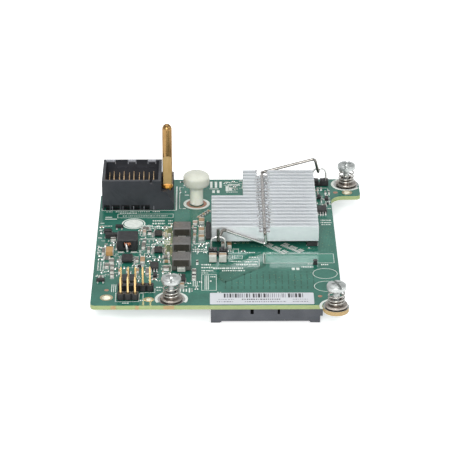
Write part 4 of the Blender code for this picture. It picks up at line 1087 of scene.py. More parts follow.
@dataclass
class MezzanineConnector:
    """The board-to-board connector under the front edge."""

    slots: tuple[Flat, ...] = ((56.0, 57.1), (65.5, 66.3))
    rows: int = 8
    pitch: float = 1.27
    ridge: float = 0.6

    def build(self) -> None:
        """Builds the housing, the shades in its slots and the contact field."""
        soften_node("mezzanine_connector", "mezzanine_connector_housing", Finishes.CONNECTOR, 0.12)
        top = shop().box("mezzanine_connector")[1].z
        shades = Copies("mezzanine_slot_shades", unit_block(), Finishes.SLOT_SHADE)
        for left, right in self.slots:
            shades.span((left, 1.01, right, 1.11), top - 2.1, 2.05)
        shades.make()
        soften_node("mezzanine_contacts", "mezzanine_contact_carrier", Finishes.CONNECTOR, 0.05)
        self.tips()

    def tips(self) -> None:
        """Sets a row of gilt contact tips on each side of each ridge of the contact field."""
        low, high = shop().box("mezzanine_contacts")
        first = (low.y + high.y - (self.rows - 1) * self.pitch) / 2
        tips = Copies("mezzanine_contact_tips", unit_block(0.2), Finishes.CONTACT)
        count = int(high.x - low.x - 1.0)
        start = (low.x + high.x - (count - 1)) / 2
        for row in range(self.rows):
            for column in range(count):
                for side in (-1, 1):
                    y = first + row * self.pitch + side * (self.ridge / 2 + 0.04)
                    tips.add((start + column, y, low.z + 0.15), (0.4, 0.1, 1.0))
        tips.make()


@dataclass
class UprightHeader:
    """The upright header: its moulded shroud and the blades in its floor."""

    columns: int = 10
    teeth: int = 7
    tip: Flat = (0.24, 0.75)
    comb: Flat = (1.3, 20.9)
    ribs: int = 21
    dividers: tuple[float, ...] = (4.9, 8.9, 12.9, 16.9, 20.6)
    pale_rims: tuple[Flat, ...] = ((1.9, 5.6), (10.5, 13.5), (18.1, 21.1))

    def build(self) -> None:
        """Builds the shroud, its combs and its blades."""
        soften_node("header_shroud", "header_shroud_moulding", Finishes.HEADER, 0.12)
        self.tail_combs()
        self.pale_edges()
        self.blades()

    def tail_combs(self) -> None:
        """Builds the ribbed combs that hold the tails and a thin plate on the board under them, both near-black as
        painted shade seen through the front wall's windows, with pale dividers as a painted highlight between the
        windows.
        """
        low = shop().box("header_shroud")[0]
        near, foot, top = low.y + 1.7, low.z + 0.02, low.z + 1.6
        left, right = low.x + self.comb[0], low.x + self.comb[1]
        shape = Shape().block((left, near + 0.5, foot), (right, near + 2.0, top))
        for rib in range(self.ribs):
            x = left + 0.25 + 0.95 * rib
            shape.block((x, near, foot), (x + 0.3, near + 0.6, top))
        # A thin near-black plate on the board under the windows: painted shade.
        shape.block((left, low.y + 0.1, 0.02), (right, near + 0.6, 0.06))
        # Pale bars at the window dividers: painted highlight.
        dividers = Copies("header_window_dividers", unit_block(), Finishes.HEADER_PALE)
        for side in self.dividers:
            dividers.add((side, low.y - 0.03, low.z), (0.16, 0.1, 1.5))
        dividers.make()
        shape.place("header_tail_combs", Finishes.HEADER_SHADE)

    def pale_edges(self) -> None:
        """Lays the pale rims of the three lead-ins on the back wall's top."""
        high = shop().box("header_shroud")[1]
        rims = Copies("header_rubbed_rims", soft_block(0.04), Finishes.HEADER_PALE)
        for left, right in self.pale_rims:
            middle, wide = (left + right) / 2, right - left
            rims.add((middle, high.y - 0.8, high.z - 0.04), (wide, 1.3, 0.06))
            rims.add((middle, high.y - 1.5, high.z - 0.5), (wide, 0.1, 0.46))
            for x in (left, right):
                rims.add((x, high.y - 1.5, high.z - 1.3), (0.3, 0.12, 0.9))
        rims.make()

    def blades(self) -> None:
        """Sets the slim gilt tips of each column, one behind the other."""
        nodes = [f"header_blade_{column + 1:02d}" for column in range(self.columns)]
        tips = Copies("header_blade_tips", unit_block(0.2), Finishes.BLADE)
        for node in nodes:
            low, high = shop().box(node)
            step = (high.y - low.y - self.tip[1]) / (self.teeth - 1)
            for tooth in range(self.teeth):
                y = low.y + self.tip[1] / 2 + tooth * step
                tips.add(((low.x + high.x) / 2, y, low.z), (*self.tip, high.z - low.z))
        tips.make(stands_for=nodes)


@dataclass
class GuidePin:
    """The gilt guide pin on the header's step."""

    radius: float = 1.85
    collar: float = 2.05
    tail: float = 1.3
    tail_length: float = 3.7
    dome: float = 2.2
    flat_offset: float = 1.0
    flat_top: float = 21.4
    flat_rise: float = 1.1

    def build(self) -> None:
        """Builds the pin, with a flat on its front that ends in an arch."""
        low, high = shop().box("guide_pin")
        x, y = shop().middle("guide_pin")
        radius, foot = self.radius, low.z + self.tail_length
        profile = [
            *arc((0, high.z - self.dome), radius, self.dome, 90, 0, 10), (radius, foot + 1.0),
            (self.collar, foot + 0.6), (self.collar, foot), (self.tail, foot), (self.tail, low.z), (0, low.z),
        ]
        pin = Shape().turned(profile, (x, y), 72)
        shoulder, sill, cut = self.flat_top - radius, foot + self.flat_rise, y - self.flat_offset
        arch = [*arc((x, shoulder), radius, radius, 0, 180, 18), (x - radius, sill), (x + radius, sill)]
        pin.carve(Shape().facing(arch, y - 4, cut))

        def finish(face: bmesh.types.BMFace) -> int:
            """Tells the shank, the flat, the foot and the round front either side of the flat apart; that front gets
            painted shade.

            Args:
                face: a face of the pin.

            Returns:
                The number of its finish.
            """
            middle = face.calc_center_median()
            if middle.z < sill:
                return 2
            # The milled flat, paler: partly a painted highlight.
            if face.normal.y < -0.999 and middle.y > cut - 0.01:
                return 1
            # The round front beside the flat, in painted shade.
            return 3 if face.normal.y < -0.15 and sill < middle.z < shoulder else 0

        pin.number(finish).place(
            "guide_pin_turned", Finishes.GUIDE, Finishes.GUIDE_FLAT, Finishes.GUIDE_FOOT, Finishes.GUIDE_SHADE,
            smooth=30.0, stands_for=["guide_pin"],
        )


@dataclass
class PullKnob:
    """The nylon pull knob."""

    post: float = 2.5
    stem: float = 1.6
    underside: float = 8.1
    neck: float = 7.1
    rim: float = 3.1
    gate: float = 0.5

    def build(self) -> None:
        """Builds the knob, with a faint gate mark on its crown."""
        low, high = shop().box("pull_knob")
        radius, post, neck, under = (high.x - low.x) / 2, self.post, self.neck, self.underside
        rim = under + self.rim
        profile = [
            (0, high.z - 0.12), (self.gate, high.z - 0.12), (self.gate + 0.08, high.z - 0.02),
            *arc((0, rim), radius, high.z - rim, 80, 0, 16),
            (radius * 0.995, under + 1.6), (radius * 0.985, under + 0.7), (radius * 0.965, under + 0.35),
            (radius * 0.93, under + 0.1), (radius * 0.88, under - 0.1), (post + 0.35, neck + 0.16),
            (post + 0.1, neck + 0.04), (post, neck - 0.2), (post, CLEARANCE + 0.15), (post - 0.15, CLEARANCE),
            (self.stem, CLEARANCE), (self.stem, low.z + 0.8), (self.stem * 0.5, low.z), (0, low.z),
        ]
        knob = Shape().turned(profile, shop().middle("pull_knob"), 80)
        # The post below the neck gets the paler nylon: painted light.
        knob.number(lambda face: int(face.calc_center_median().z < neck)).place(
            "pull_knob_moulding", Finishes.NYLON, Finishes.NYLON_POST_LIT, smooth=40.0, stands_for=["pull_knob"]
        )


@dataclass
class HeatSink:
    """The finned heat sink and the processor below it."""

    fins: int = 18
    fin: float = 1.0
    channel: Flat = (59.9, 63.9)
    channel_depth: float = 2.3
    lid_height: float = 1.3
    seed: int = 11

    def build(self) -> None:
        """Builds the heat sink, the burrs of its sawn channel and the processor."""
        soften_node("heat_sink", "heat_sink_extrusion", Finishes.SINK, 0.1, 1)
        self.burrs()
        processor = Shape().node("processor")
        processor.number(lambda face: int(face.calc_center_median().z > self.lid_height)).soften(0.1, segments=1).place(
            "processor_package", Finishes.CHIP, Finishes.LID, stands_for=["processor"]
        )

    def burrs(self) -> None:
        """Leaves ragged burrs where the channel was sawn through the fins."""
        low, high = shop().box("heat_sink")
        pitch = (high.y - low.y - self.fin) / (self.fins - 1)
        chance = random.Random(self.seed)
        burrs = Copies("heat_sink_burrs", unit_block(0.15), Finishes.BURR, 0.3)
        (left, right), floor = self.channel, high.z - self.channel_depth

        def burr(
            x: float, front: float, z: float, ahead: Flat, wide: Flat, deep: Flat, tall: float, turn: Flat
        ) -> None:
            """Adds one burr, with the rest of its place, its sides and its turn drawn from ranges."""
            draw = chance.uniform
            burrs.add((x, front + draw(*ahead), z), (draw(*wide), draw(*deep), tall), draw(*turn))

        for fin in range(self.fins):
            y = low.y + fin * pitch
            for _ in range(22):
                x = chance.choice(self.channel) + chance.gauss(0.0, 0.45)
                burr(x, y, high.z - 0.1, (0.05, 0.9), (0.15, 0.5), (0.15, 0.4), 0.13, (0, 90))
            for _ in range(26):
                x = chance.uniform(left + 0.1, right - 0.1)
                burr(x, y, floor - 0.05, (0.1, 0.9), (0.2, 0.6), (0.2, 0.5), 0.12, (0, 90))
            for _ in range(7):
                x = (left + right) / 2 + chance.uniform(-0.45, 0.45)
                burr(x, y, floor + 1.05, (0.0, 2.8), (0.15, 0.4), (0.2, 0.7), 0.16, (-20, 20))
        burrs.make()


@dataclass
class SpringClip:
    """The wire clip over the heat sink and its two soldered anchors."""

    wire: float = 1.1
    bend: float = 1.3
    channel: float = 61.9
    channel_floor: float = 6.1
    hook_tip: float = 10.9
    front_low: float = 1.7
    front_high: float = 7.7
    rear_high: float = 12.6
    loop_wire: float = 0.75
    loop_width: float = 5.1

    def build(self) -> None:
        """Builds both anchors, the clip, a painted highlight on its front run and a painted speckle of highlight and
        shade on its run in the channel.
        """
        for name in ("front", "rear"):
            self.anchor(name)
        (fx, fy), (rx, ry) = shop().middle("front_anchor_base"), shop().middle("rear_anchor_base")
        low, high = shop().box("heat_sink")
        radius, channel, hook = self.wire / 2, self.channel, 2 * self.wire
        run = self.channel_floor + CLEARANCE + radius
        front, back = low.y - CLEARANCE - radius, high.y + CLEARANCE + radius
        under = shop().box("front_anchor_loop")[1].z - self.loop_wire - CLEARANCE - radius
        past = self.loop_wire / 2 + CLEARANCE + radius
        path = bent([
            (fx, fy - past - radius / 2, self.hook_tip), (fx, fy - past, under), (fx + radius / 2, fy + past, under),
            (fx + hook * 0.8, front, self.front_high), (channel + hook / 4, front, self.front_low),
            (channel, front, run), (channel, back, run), (rx - hook * 0.9, back, self.rear_high),
            (rx - hook / 5, ry - past, under), (rx, ry + hook, under),
        ], self.bend)
        Wire("heat_sink_clip_wire", Finishes.CLIP, radius, 20).make(path, stands_for=["heat_sink_clip"])
        # A slightly thicker sleeve in a brighter finish over the front run: painted highlight.
        bright = [point for point in path if abs(point[1] - front) < 0.001]
        Wire("heat_sink_clip_bright_run", Finishes.CLIP_HIGHLIGHT, radius + 0.02, 20).make(bright)
        # A sleeve speckled pale and dark over the run in the channel: painted highlight and shade.
        speckled_path = [(channel, front + 1.6, run), (channel, back - 2.4, run)]
        Wire("heat_sink_clip_scuffed_run", Finishes.CLIP_SPECKLE, radius + 0.02).make(speckled_path)

    def anchor(self, name: str) -> None:
        """Builds one anchor.

        Args:
            name: front or rear.
        """
        node = f"{name}_anchor_base"
        base = Shape().node(node)
        low, high = shop().box(node)
        x, y = shop().middle(node)
        base.carve(Shape().block((x - 0.3, low.y - 1, low.z + 0.6), (x + 0.3, high.y + 1, high.z + 1)))
        for side in (-1, 1):
            for across, tall in ((2.95, 0.35), (1.9, 0.5), (0.85, 0.25)):
                spot = x + side * across
                base.block((spot - 0.35, y - 0.9, high.z - 0.1), (spot + 0.35, y + 0.9, high.z + tall), taper=0.12)
        base.soften(0.1, segments=1).place(f"{name}_anchor_moulding", Finishes.PIN_BASE, stands_for=[node])
        low, high = shop().box(f"{name}_anchor_loop")
        half, top = self.loop_width / 2, high.z - self.loop_wire / 2
        loop = bent(
            [(x - half, y, low.z), (x - half, y, top), (x + half, y, top), (x + half, y, low.z)], half * 0.9, 12
        )
        Wire(f"{name}_anchor_wire", Finishes.LOOP, self.loop_wire / 2).make(loop, stands_for=[f"{name}_anchor_loop"])


@dataclass
class CaptiveScrew:
    """One captive screw with its spring and its ferrule."""

    name: str
    slot_angle: float
    head_radius: float = 3.5
    head_foot: float = 6.9
    head_top: float = 8.8
    crown: float = 0.3
    edge: float = 0.9
    neck: float = 1.2
    thread: float = 1.5
    thread_pitch: float = 0.25
    tip: float = -1.6
    slot_width: float = 0.9
    cross: float = 3.8
    cross_depth: float = 1.5
    flange: float = 4.0
    flange_height: float = 0.8
    barrel: float = 2.2
    bore: float = 1.75
    spring_wire: float = 0.55
    coil: float = 2.775
    turns: float = 3.5
    first_angle: float = 54.0
    opening: float = 1.45
    travel: float = 2.0

    def build(self) -> None:
        """Builds the three pieces."""
        place = shop().middle(f"{self.name}_ferrule")
        self.ferrule(place)
        self.spring(place)
        self.screw(place)

    def ferrule(self, place: Flat) -> None:
        """Builds the flanged ferrule.

        Args:
            place: its middle.
        """
        low, high = shop().box(f"{self.name}_ferrule")
        tail, top, seat = low.z, high.z, CLEARANCE + self.flange_height
        flange, barrel, bore = self.flange, self.barrel, self.bore
        profile = [
            (barrel - 0.15, top), (barrel, top - 0.15), (barrel, seat + 0.1), (barrel + 0.1, seat),
            (flange - 0.35, seat), (flange - 0.12, seat - 0.1), (flange, seat - 0.32), (flange, CLEARANCE + 0.1),
            (flange - 0.1, CLEARANCE), (barrel, CLEARANCE), (barrel, tail + 0.1), (barrel - 0.1, tail),
            (bore, tail), (bore, top - 0.1), (bore + 0.1, top),
        ]
        Shape().turned(profile, place, 72, ring=True).place(
            f"{self.name}_ferrule_turned", Finishes.FLANGE, smooth=35.0, stands_for=[f"{self.name}_ferrule"]
        )

    def spring(self, place: Flat) -> None:
        """Builds the spring, which rides on the screw's follower body.

        Args:
            place: its middle.
        """
        low, high = shop().box(f"{self.name}_spring")
        start, end, steps = low.z + self.spring_wire / 2, high.z - self.spring_wire / 2, 36
        path = []
        for step in range(round(self.turns * steps) + 1):
            turn = step / steps
            rise = start + (end - start) * (turn / self.turns) ** self.opening
            path.append((*moved(place, self.coil, 0.0, self.first_angle + 360 * turn), rise))
        spring = Wire(f"{self.name}_spring_wire", Finishes.SPRING, self.spring_wire / 2, 12).make(
            path, body=f"{self.name}_follower", stands_for=[f"{self.name}_spring"]
        )
        anchor = shop().to_world @ Vector((*place, high.z))
        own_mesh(spring)

    def screw(self, place: Flat) -> None:
        """Builds the screw: a pan head with a cross recess and one long slot, a bare neck and a thread.

        Args:
            place: its middle.
        """
        radius, top, edge, thread, tip = self.head_radius, self.head_top, self.edge, self.thread, self.tip
        profile = [
            (0, top + self.crown), (1.2, top + self.crown * 0.9), (2.2, top + self.crown * 0.6),
            *arc((radius - edge, top - edge), edge, edge, 75, 0, 5),
            (radius, self.head_foot + 0.12), (radius - 0.12, self.head_foot), (self.neck, self.head_foot),
            (self.neck, 2.7), (thread, 2.4),
        ]
        for turn in range(int((1.8 - tip) / self.thread_pitch)):
            height = 2.3 - turn * self.thread_pitch
            profile += [(thread, height), (thread - 0.22, height - self.thread_pitch / 2)]
        profile += [(thread - 0.4, tip), (0, tip)]
        screw = Shape().turned(profile, place, 72)
        (x, y), half, arm = place, self.slot_width / 2, self.cross / 2
        slot = Shape().block((x - radius - 1, y - half, top - 0.8), (x + radius + 1, y + half, top + 1))
        screw.carve(slot.turn(self.slot_angle, place))
        for turn in (0, 90):
            foot = corners(x - arm * 0.5, y - half * 0.7, x + arm * 0.5, y + half * 0.7)
            head = corners(x - arm, y - half, x + arm, y + half)
            recess = Shape().prism(foot, top - self.cross_depth, top + 0.4, top=head)
            screw.carve(recess.turn(self.slot_angle + turn, place))
        screw.place(
            f"{self.name}_screw_turned", Finishes.NICKEL, body=f"{self.name}_captive", smooth=30.0,
            stands_for=[f"{self.name}_screw"],
        )


@dataclass
class FerriteInductor:
    """One grooved ferrite core over its flat strap."""

    number: int

    def build(self) -> None:
        """Builds the core and the strap."""
        core, strap = f"ferrite_core_{self.number}", f"inductor_strap_{self.number}"
        low, high = shop().box(core)
        shape = Shape().node(core).soften(0.12)
        # Darker patches on the front and back faces: painted shade.
        for y in (low.y - 0.02, high.y - 0.02):
            shape.block((low.x + 0.55, y, low.z + 1.9), (high.x - 0.55, y + 0.04, high.z - 0.2), skin=1)
        shape.place(f"{core}_pressed", Finishes.FERRITE, Finishes.FERRITE_SHADE, stands_for=[core])
        soften_node(strap, f"{strap}_formed", Finishes.WHITE_END, 0.12)


@dataclass
class PowerInductor:
    """The square power inductor and the winding in its window."""

    turns: float = 3.5
    wire: float = 0.2
    span: float = 1.1

    def build(self) -> None:
        """Builds the core, the winding, the lead that comes out of its window and the feet."""
        soften_node("power_inductor_core", "power_inductor_moulding", Finishes.COIL_BLACK, 0.15)
        left, front, _ = shop().box("power_inductor_core")[0]
        low, high = shop().box("power_inductor_winding")
        x, z, radius = (low.x + high.x) / 2, (low.z + high.z) / 2, (high.z - low.z) / 2 - 0.05
        middle, steps = front + radius + 0.45, 28
        path = []
        for step in range(int(self.turns * steps) + 1):
            along = x + self.span * (2 * step / (self.turns * steps) - 1)
            path.append((along, *moved((middle, z), radius, 0.0, 360 * step / steps)))
        Wire("power_inductor_coil", Finishes.ENAMEL, self.wire, 12).make(path, stands_for=["power_inductor_winding"])
        lead = bent([
            (x - 0.5, middle - radius, z + 0.3), (x - 0.3, front - 0.1, z - 0.1), (x - 0.1, front - 0.45, 1.4),
            (x, front - 0.55, 0.5), (x + 0.05, front - 0.9, 0.25),
        ], 0.5)
        Wire("power_inductor_lead", Finishes.LOOP, 0.42, 14).make(lead)
        feet = Copies("power_inductor_feet", unit_block(0.05), Finishes.WHITE_END)
        for spot in (left + 1.4, left + 6.2):
            feet.add((spot, front - 0.15, 0.0), (2.2, 0.7, 0.12))
        feet.make()


@dataclass
class PinHeader:
    """A pin header: its notched base and its square pins."""

    name: str
    count: int
    side: float = 0.64
    tip_side: float = 0.3
    tip_length: float = 0.9

    def build(self) -> None:
        """Builds the base and the pins."""
        base = f"{self.name}_pin_base"
        soften_node(base, f"{base}_moulding", Finishes.PIN_BASE, 0.1)
        nodes = [f"{self.name}_pin_{number + 1}" for number in range(self.count)]
        low, high = shop().box(nodes[0])
        height, body, tip = high.z - low.z, self.side / 2, self.tip_side / 2
        square, point = corners(-body, -body, body, body), corners(-tip, -tip, tip, tip)
        pin = Shape().prism(square, 0, height - self.tip_length)
        pin.prism(square, height - self.tip_length, height, top=point).weld().soften(0.06, 30.0, 1)
        pins = Copies(f"{self.name}_pins", pin, Finishes.CONTACT)
        for node in nodes:
            pins.add((*shop().middle(node), shop().box(node)[0].z))
        pins.make(stands_for=nodes)


class Ends(Enum):
    """Which two sides of a part its terminals are on, by axis."""

    LEFT_AND_RIGHT = 0
    FRONT_AND_BACK = 1


@dataclass
class TwoTerminalPart:
    """A capacitor: its body between two bright terminals."""

    node: str
    finish: Finish
    ends: Ends = Ends.FRONT_AND_BACK
    front: float = 0.6
    back: float = 0.6

    def build(self) -> None:
        """Builds the part."""
        low, high = shop().box(self.node)
        axis = self.ends.value
        body = [low + Vector((0.06, 0.06, 0.05)), high - Vector((0.06, 0.06, 0.04))]
        near, far = Vector(high), Vector(low)
        body[0][axis] = near[axis] = low[axis] + self.front
        body[1][axis] = far[axis] = high[axis] - self.back
        Shape().block(*body).block(low, near, skin=1).block(far, high, skin=1).soften(0.09).place(
            f"{self.node}_part", self.finish, Finishes.WHITE_END, stands_for=[self.node]
        )


@dataclass
class GullWingChip:
    """A moulded chip with gull-wing leads on two sides."""

    node: str
    leads: int
    ends: Ends = Ends.FRONT_AND_BACK
    reach: float = 0.8
    draft: float = 0.14
    dimple: float = 0.28
    lead_width: float = 0.42
    thick: float = 0.16

    def build(self) -> None:
        """Builds the body with its index mark, and its leads."""
        low, high = shop().box(self.node)
        front, back, draft = low.y + self.reach, high.y - self.reach, self.draft
        middle = low.z + (high.z - low.z) * 0.52
        foot = corners(low.x + draft, front + draft, high.x - draft, back - draft)
        waist = corners(low.x, front, high.x, back)
        body = Shape().prism(foot, low.z + 0.18, middle, top=waist).prism(waist, middle, high.z, top=foot)
        mark = arc((low.x + 0.62, front + 0.62), self.dimple, self.dimple, steps=16)[:-1]
        body.weld().soften(0.05, 30.0, 1).carve(Shape().prism(mark, high.z - 0.08, high.z + 0.2))
        body.place(f"{self.node}_package", Finishes.CHIP, stands_for=[self.node])
        self.legs(low, high, middle - low.z)

    def lead(self, rise: float) -> Shape:
        """Gives one lead, about the spot where it leaves the body.

        Args:
            rise: how far its foot is below that spot.

        Returns:
            The lead.
        """
        half, thick, reach = self.lead_width / 2, self.thick, self.reach
        line = [
            (-0.25, rise), (reach * 0.35, rise), (reach * 0.5, rise - 0.12), (reach * 0.58, thick + 0.08),
            (reach * 0.68, thick), (reach, thick),
        ]
        under = [(y - thick * 0.6, z - thick) if 0 < i < 4 else (y, z - thick) for i, (y, z) in enumerate(line)]
        ring = [*line, *reversed(under)]
        return Shape().between([(-half, -y, z) for y, z in ring], [(half, -y, z) for y, z in ring])

    def legs(self, low: Vector, high: Vector, rise: float) -> None:
        """Sets the leads along both sides, each with its solder.

        Args:
            low: the chip's lowest corner.
            high: its highest corner.
            rise: the height at which the leads leave the body.
        """
        leads = Copies(f"{self.node}_leads", self.lead(rise), Finishes.TIN)
        solder = Copies(f"{self.node}_solder", unit_block(0.12), Finishes.TIN, 0.1)
        sides = self.ends is Ends.LEFT_AND_RIGHT
        across, ahead = (low.x, high.x), (low.y + self.reach, high.y - self.reach)
        (start, end), (near, far), first = (ahead, across, -90) if sides else (across, ahead, 0)
        width = self.lead_width + 0.22
        for number in range(self.leads):
            along = start + (number + 0.5) * (end - start) / self.leads
            for edge, way, turn in ((near, -1, first), (far, 1, first + 180)):
                out = edge + way * (self.reach - 0.12)
                if sides:
                    leads.add((edge, along, low.z), turn=turn)
                    solder.add((out, along, 0.0), (0.8, width, 0.34))
                else:
                    leads.add((along, edge, low.z), turn=turn)
                    solder.add((along, out, 0.0), (width, 0.8, 0.34))
        leads.make()
        solder.make()


@dataclass(frozen=True)
class DashStyle:
    """How a row of plain dashes is drawn: ranges for each width, gap and share of the row's height."""

    widths: Flat
    gaps: Flat
    shares: Flat
    foot: float
    thick: float
    least: float = 0.0

    def row(self, marks: Copies, chance: random.Random, line: Rect) -> None:
        """Draws one row.

        Args:
            marks: the set that its dashes go to.
            chance: where the random draws come from.
            line: its left and right end, its middle from the front and its height.
        """
        x, end, y, tall = line
        while x < end:
            width = min(chance.uniform(*self.widths), end - x)
            if width > self.least:
                marks.add((x + width / 2, y, self.foot), (width, tall * chance.uniform(*self.shares), self.thick))
            x += width + chance.uniform(*self.gaps)


@dataclass
class BoardPrint:
    """The white marks printed on the mask: frames, rings, ovals, bars and rows of plain dashes."""

    lift: float = 0.03
    fine: float = 0.24
    bold: float = 0.5
    seed: int = 5
    frames: tuple[Rect, ...] = (
        (61.3, 32.8, 86.8, 40.2), (7.1, 71.3, 28.0, 74.6), (38.9, 11.4, 44.1, 23.8), (48.4, 36.2, 50.1, 39.2),
        (50.8, 36.4, 53.6, 39.0),
    )
    lines: tuple[tuple[Flat, ...], ...] = (
        ((0.9, 79.6), (0.9, 77.8), (29.1, 77.8)), ((30.3, 99.0), (30.3, 79.4), (31.0, 79.4)),
        ((8.7, 9.8), (8.7, 3.0), (16.9, 3.0), (17.0, 9.2), (18.3, 9.2), (18.4, 5.0)),
        ((17.2, 9.8), (22.4, 9.8), (22.4, 13.0)), ((7.1, 10.4), (7.1, 16.2)), ((7.8, 10.4), (7.8, 16.2)),
        ((8.5, 10.4), (8.5, 16.2)), ((40.1, 12.0), (40.1, 23.0)), ((40.7, 12.0), (40.7, 23.0)),
        ((41.3, 12.0), (41.3, 23.0)), ((34.9, 31.0), (34.9, 43.0)),
        ((50.3, 41.2), (50.3, 44.6), (52.3, 44.6), (52.3, 41.2)),
        ((55.4, 36.0), (59.7, 36.0), (59.7, 30.4), (55.4, 30.4)), ((15.8, 52.4), (25.6, 52.4)),
        ((16.0, 53.4), (25.4, 53.4)), ((8.3, 43.2), (8.3, 41.6), (10.8, 41.6)), ((12.6, 41.6), (15.7, 41.6)),
        ((9.0, 31.4), (9.0, 38.8)), ((14.6, 31.4), (14.6, 38.8)), ((20.9, 55.2), (20.9, 59.2)),
        ((25.6, 55.2), (25.6, 59.2)), ((20.9, 41.4), (20.9, 46.0)), ((25.5, 41.4), (25.5, 46.0)),
        ((35.6, 14.8), (38.0, 14.8)), ((35.9, 14.8), (35.9, 18.4)), ((36.6, 14.8), (36.6, 18.4)),
        ((37.3, 14.8), (37.3, 18.4)), ((24.4, 30.8), (27.9, 30.8), (27.9, 26.4)), ((16.2, 57.4), (16.2, 62.2)),
        ((37.2, 40.2), (37.2, 44.2)), ((81.4, 99.0), (81.4, 97.6), (87.6, 97.6)),
    )
    thick_lines: tuple[tuple[Flat, ...], ...] = (
        ((29.1, 78.0), (29.1, 99.5)), ((2.5, 71.8), (5.0, 71.8)), ((2.4, 70.2), (6.9, 70.2)),
        ((0.9, 66.6), (2.3, 66.6)), ((0.6, 60.4), (1.7, 60.4)), ((0.5, 54.0), (1.9, 54.0)), ((0.6, 42.2), (2.2, 42.2)),
        ((1.3, 39.0), (3.4, 39.0)), ((31.4, 10.4), (31.4, 13.2)), ((32.5, 10.4), (32.5, 12.6)),
        ((33.5, 10.4), (33.5, 12.6)), ((34.6, 9.9), (34.6, 13.2)), ((32.2, 91.5), (33.9, 91.5)),
        ((31.6, 79.3), (32.7, 79.3)), ((41.7, 97.2), (45.2, 97.2)),
    )
    rows: tuple[Rect, ...] = (
        (9.0, 26.0, 72.9, 0.5), (2.6, 5.4, 76.6, 0.5), (6.2, 19.4, 76.6, 0.55), (20.2, 22.9, 76.7, 0.7),
        (7.8, 14.6, 75.4, 0.6), (20.3, 25.0, 66.2, 1.3), (20.4, 25.0, 68.6, 1.1), (26.2, 27.9, 66.2, 1.3),
        (26.3, 27.8, 68.6, 1.1), (1.0, 5.7, 64.1, 0.6), (17.8, 27.4, 63.4, 0.7), (19.0, 27.4, 61.9, 0.6),
        (46.2, 54.8, 26.8, 0.9), (43.0, 54.0, 28.7, 1.3), (54.4, 59.0, 33.9, 1.0), (51.4, 58.8, 31.7, 1.2),
        (74.8, 79.0, 29.6, 0.9), (77.2, 79.2, 32.0, 0.6), (82.0, 84.6, 31.4, 0.9), (61.3, 64.2, 41.0, 0.6),
        (83.5, 87.6, 68.6, 0.9), (83.4, 87.4, 66.6, 0.9), (83.6, 87.0, 64.8, 0.7), (11.2, 13.4, 1.9, 0.8),
        (17.2, 18.5, 3.9, 0.7), (0.9, 4.8, 22.8, 0.5), (2.8, 4.7, 26.0, 0.5), (38.7, 42.6, 31.6, 1.1),
        (38.7, 43.0, 29.3, 1.0), (38.8, 43.0, 26.8, 0.9), (38.8, 41.2, 25.0, 0.7), (41.9, 43.8, 22.0, 0.8),
        (41.8, 42.8, 18.6, 1.0), (27.2, 30.0, 16.4, 0.9), (32.0, 35.0, 17.2, 0.8), (31.0, 33.8, 14.6, 0.7),
        (35.6, 40.6, 44.1, 1.0), (35.5, 41.0, 42.5, 0.9), (22.6, 26.9, 50.9, 0.6), (21.4, 27.0, 48.9, 0.6),
        (16.5, 20.4, 64.5, 0.6), (9.2, 13.0, 38.9, 0.5), (8.6, 10.4, 33.2, 0.8), (24.5, 27.8, 25.4, 0.7),
        (44.4, 45.8, 9.9, 0.5), (56.0, 59.4, 37.6, 0.7), (35.6, 37.4, 62.6, 0.7), (36.0, 41.2, 48.9, 0.8),
        (86.2, 88.2, 90.9, 0.6), (86.0, 88.0, 85.2, 0.6), (48.4, 52.8, 103.0, 0.7), (48.2, 52.6, 94.2, 0.6),
        (1.4, 4.6, 36.8, 0.6), (22.8, 24.9, 13.8, 0.9), (23.0, 24.6, 11.6, 0.8), (49.0, 53.0, 34.2, 0.8),
        (84.0, 88.4, 78.9, 0.6), (90.4, 92.6, 104.2, 0.6), (56.2, 60.4, 99.4, 0.6), (54.6, 58.6, 41.4, 0.7),
    )
    squares: tuple[Rect, ...] = (
        (71.3, 27.2, 72.4, 29.0), (72.9, 27.2, 74.0, 29.0), (48.0, 95.0, 49.1, 99.6), (49.3, 95.4, 50.4, 98.4),
        (48.8, 100.4, 53.4, 101.3), (42.0, 98.2, 42.9, 103.8), (43.8, 98.2, 44.7, 103.8), (45.6, 98.2, 46.5, 103.8),
        (42.8, 93.4, 43.8, 95.8), (44.6, 93.4, 45.6, 95.8),
    )
    ovals: tuple[Flat, ...] = ((83.1, 24.3), (83.2, 14.3))
    rings: tuple[tuple[str, float, float], ...] = (
        ("front_left", -28, 208), ("front_right", 95, 200), ("rear_right", 124, 326),
    )
    badge: Flat = (13.3, 66.1)

    def build(self) -> None:
        """Prints everything."""
        frames = [[*corners(*frame), frame[:2]] for frame in self.frames]
        self.stroke("board_print_fine_lines", [*self.lines, *frames], self.fine)
        self.stroke("board_print_thick_lines", self.thick_lines, self.bold)
        self.stroke("board_print_ovals", [arc(place, 4.35, 4.0) for place in self.ovals], self.fine * 0.8)
        left, front, right, back = self.frames[0]
        Shape().block((left, front, 0.0), (right, back, self.lift / 2)).place("board_print_window", Finishes.TRACE)
        rings = [arc(shop().middle(f"{name}_ferrule"), 5.35, 5.35, start, end) for name, start, end in self.rings]
        self.stroke("board_print_screw_rings", rings, 0.95)
        self.stroke("board_print_knob_ring", [arc(shop().middle("pull_knob"), 4.48, 4.48)], 1.1)
        Shape().prism(arc(self.badge, 3.55, 3.65)[:-1], 0.0, self.lift).place("board_print_badge", Finishes.PRINT)
        self.stroke("board_print_badge_rim", [arc(self.badge, 4.15, 4.3)], 0.5)
        self.dashes()

    def stroke(self, name: str, paths: Sequence[Sequence[Flat]], width: float) -> None:
        """Prints lines of one width."""
        Wire(name, Finishes.PRINT, width=width, thickness=self.lift).lay(paths)

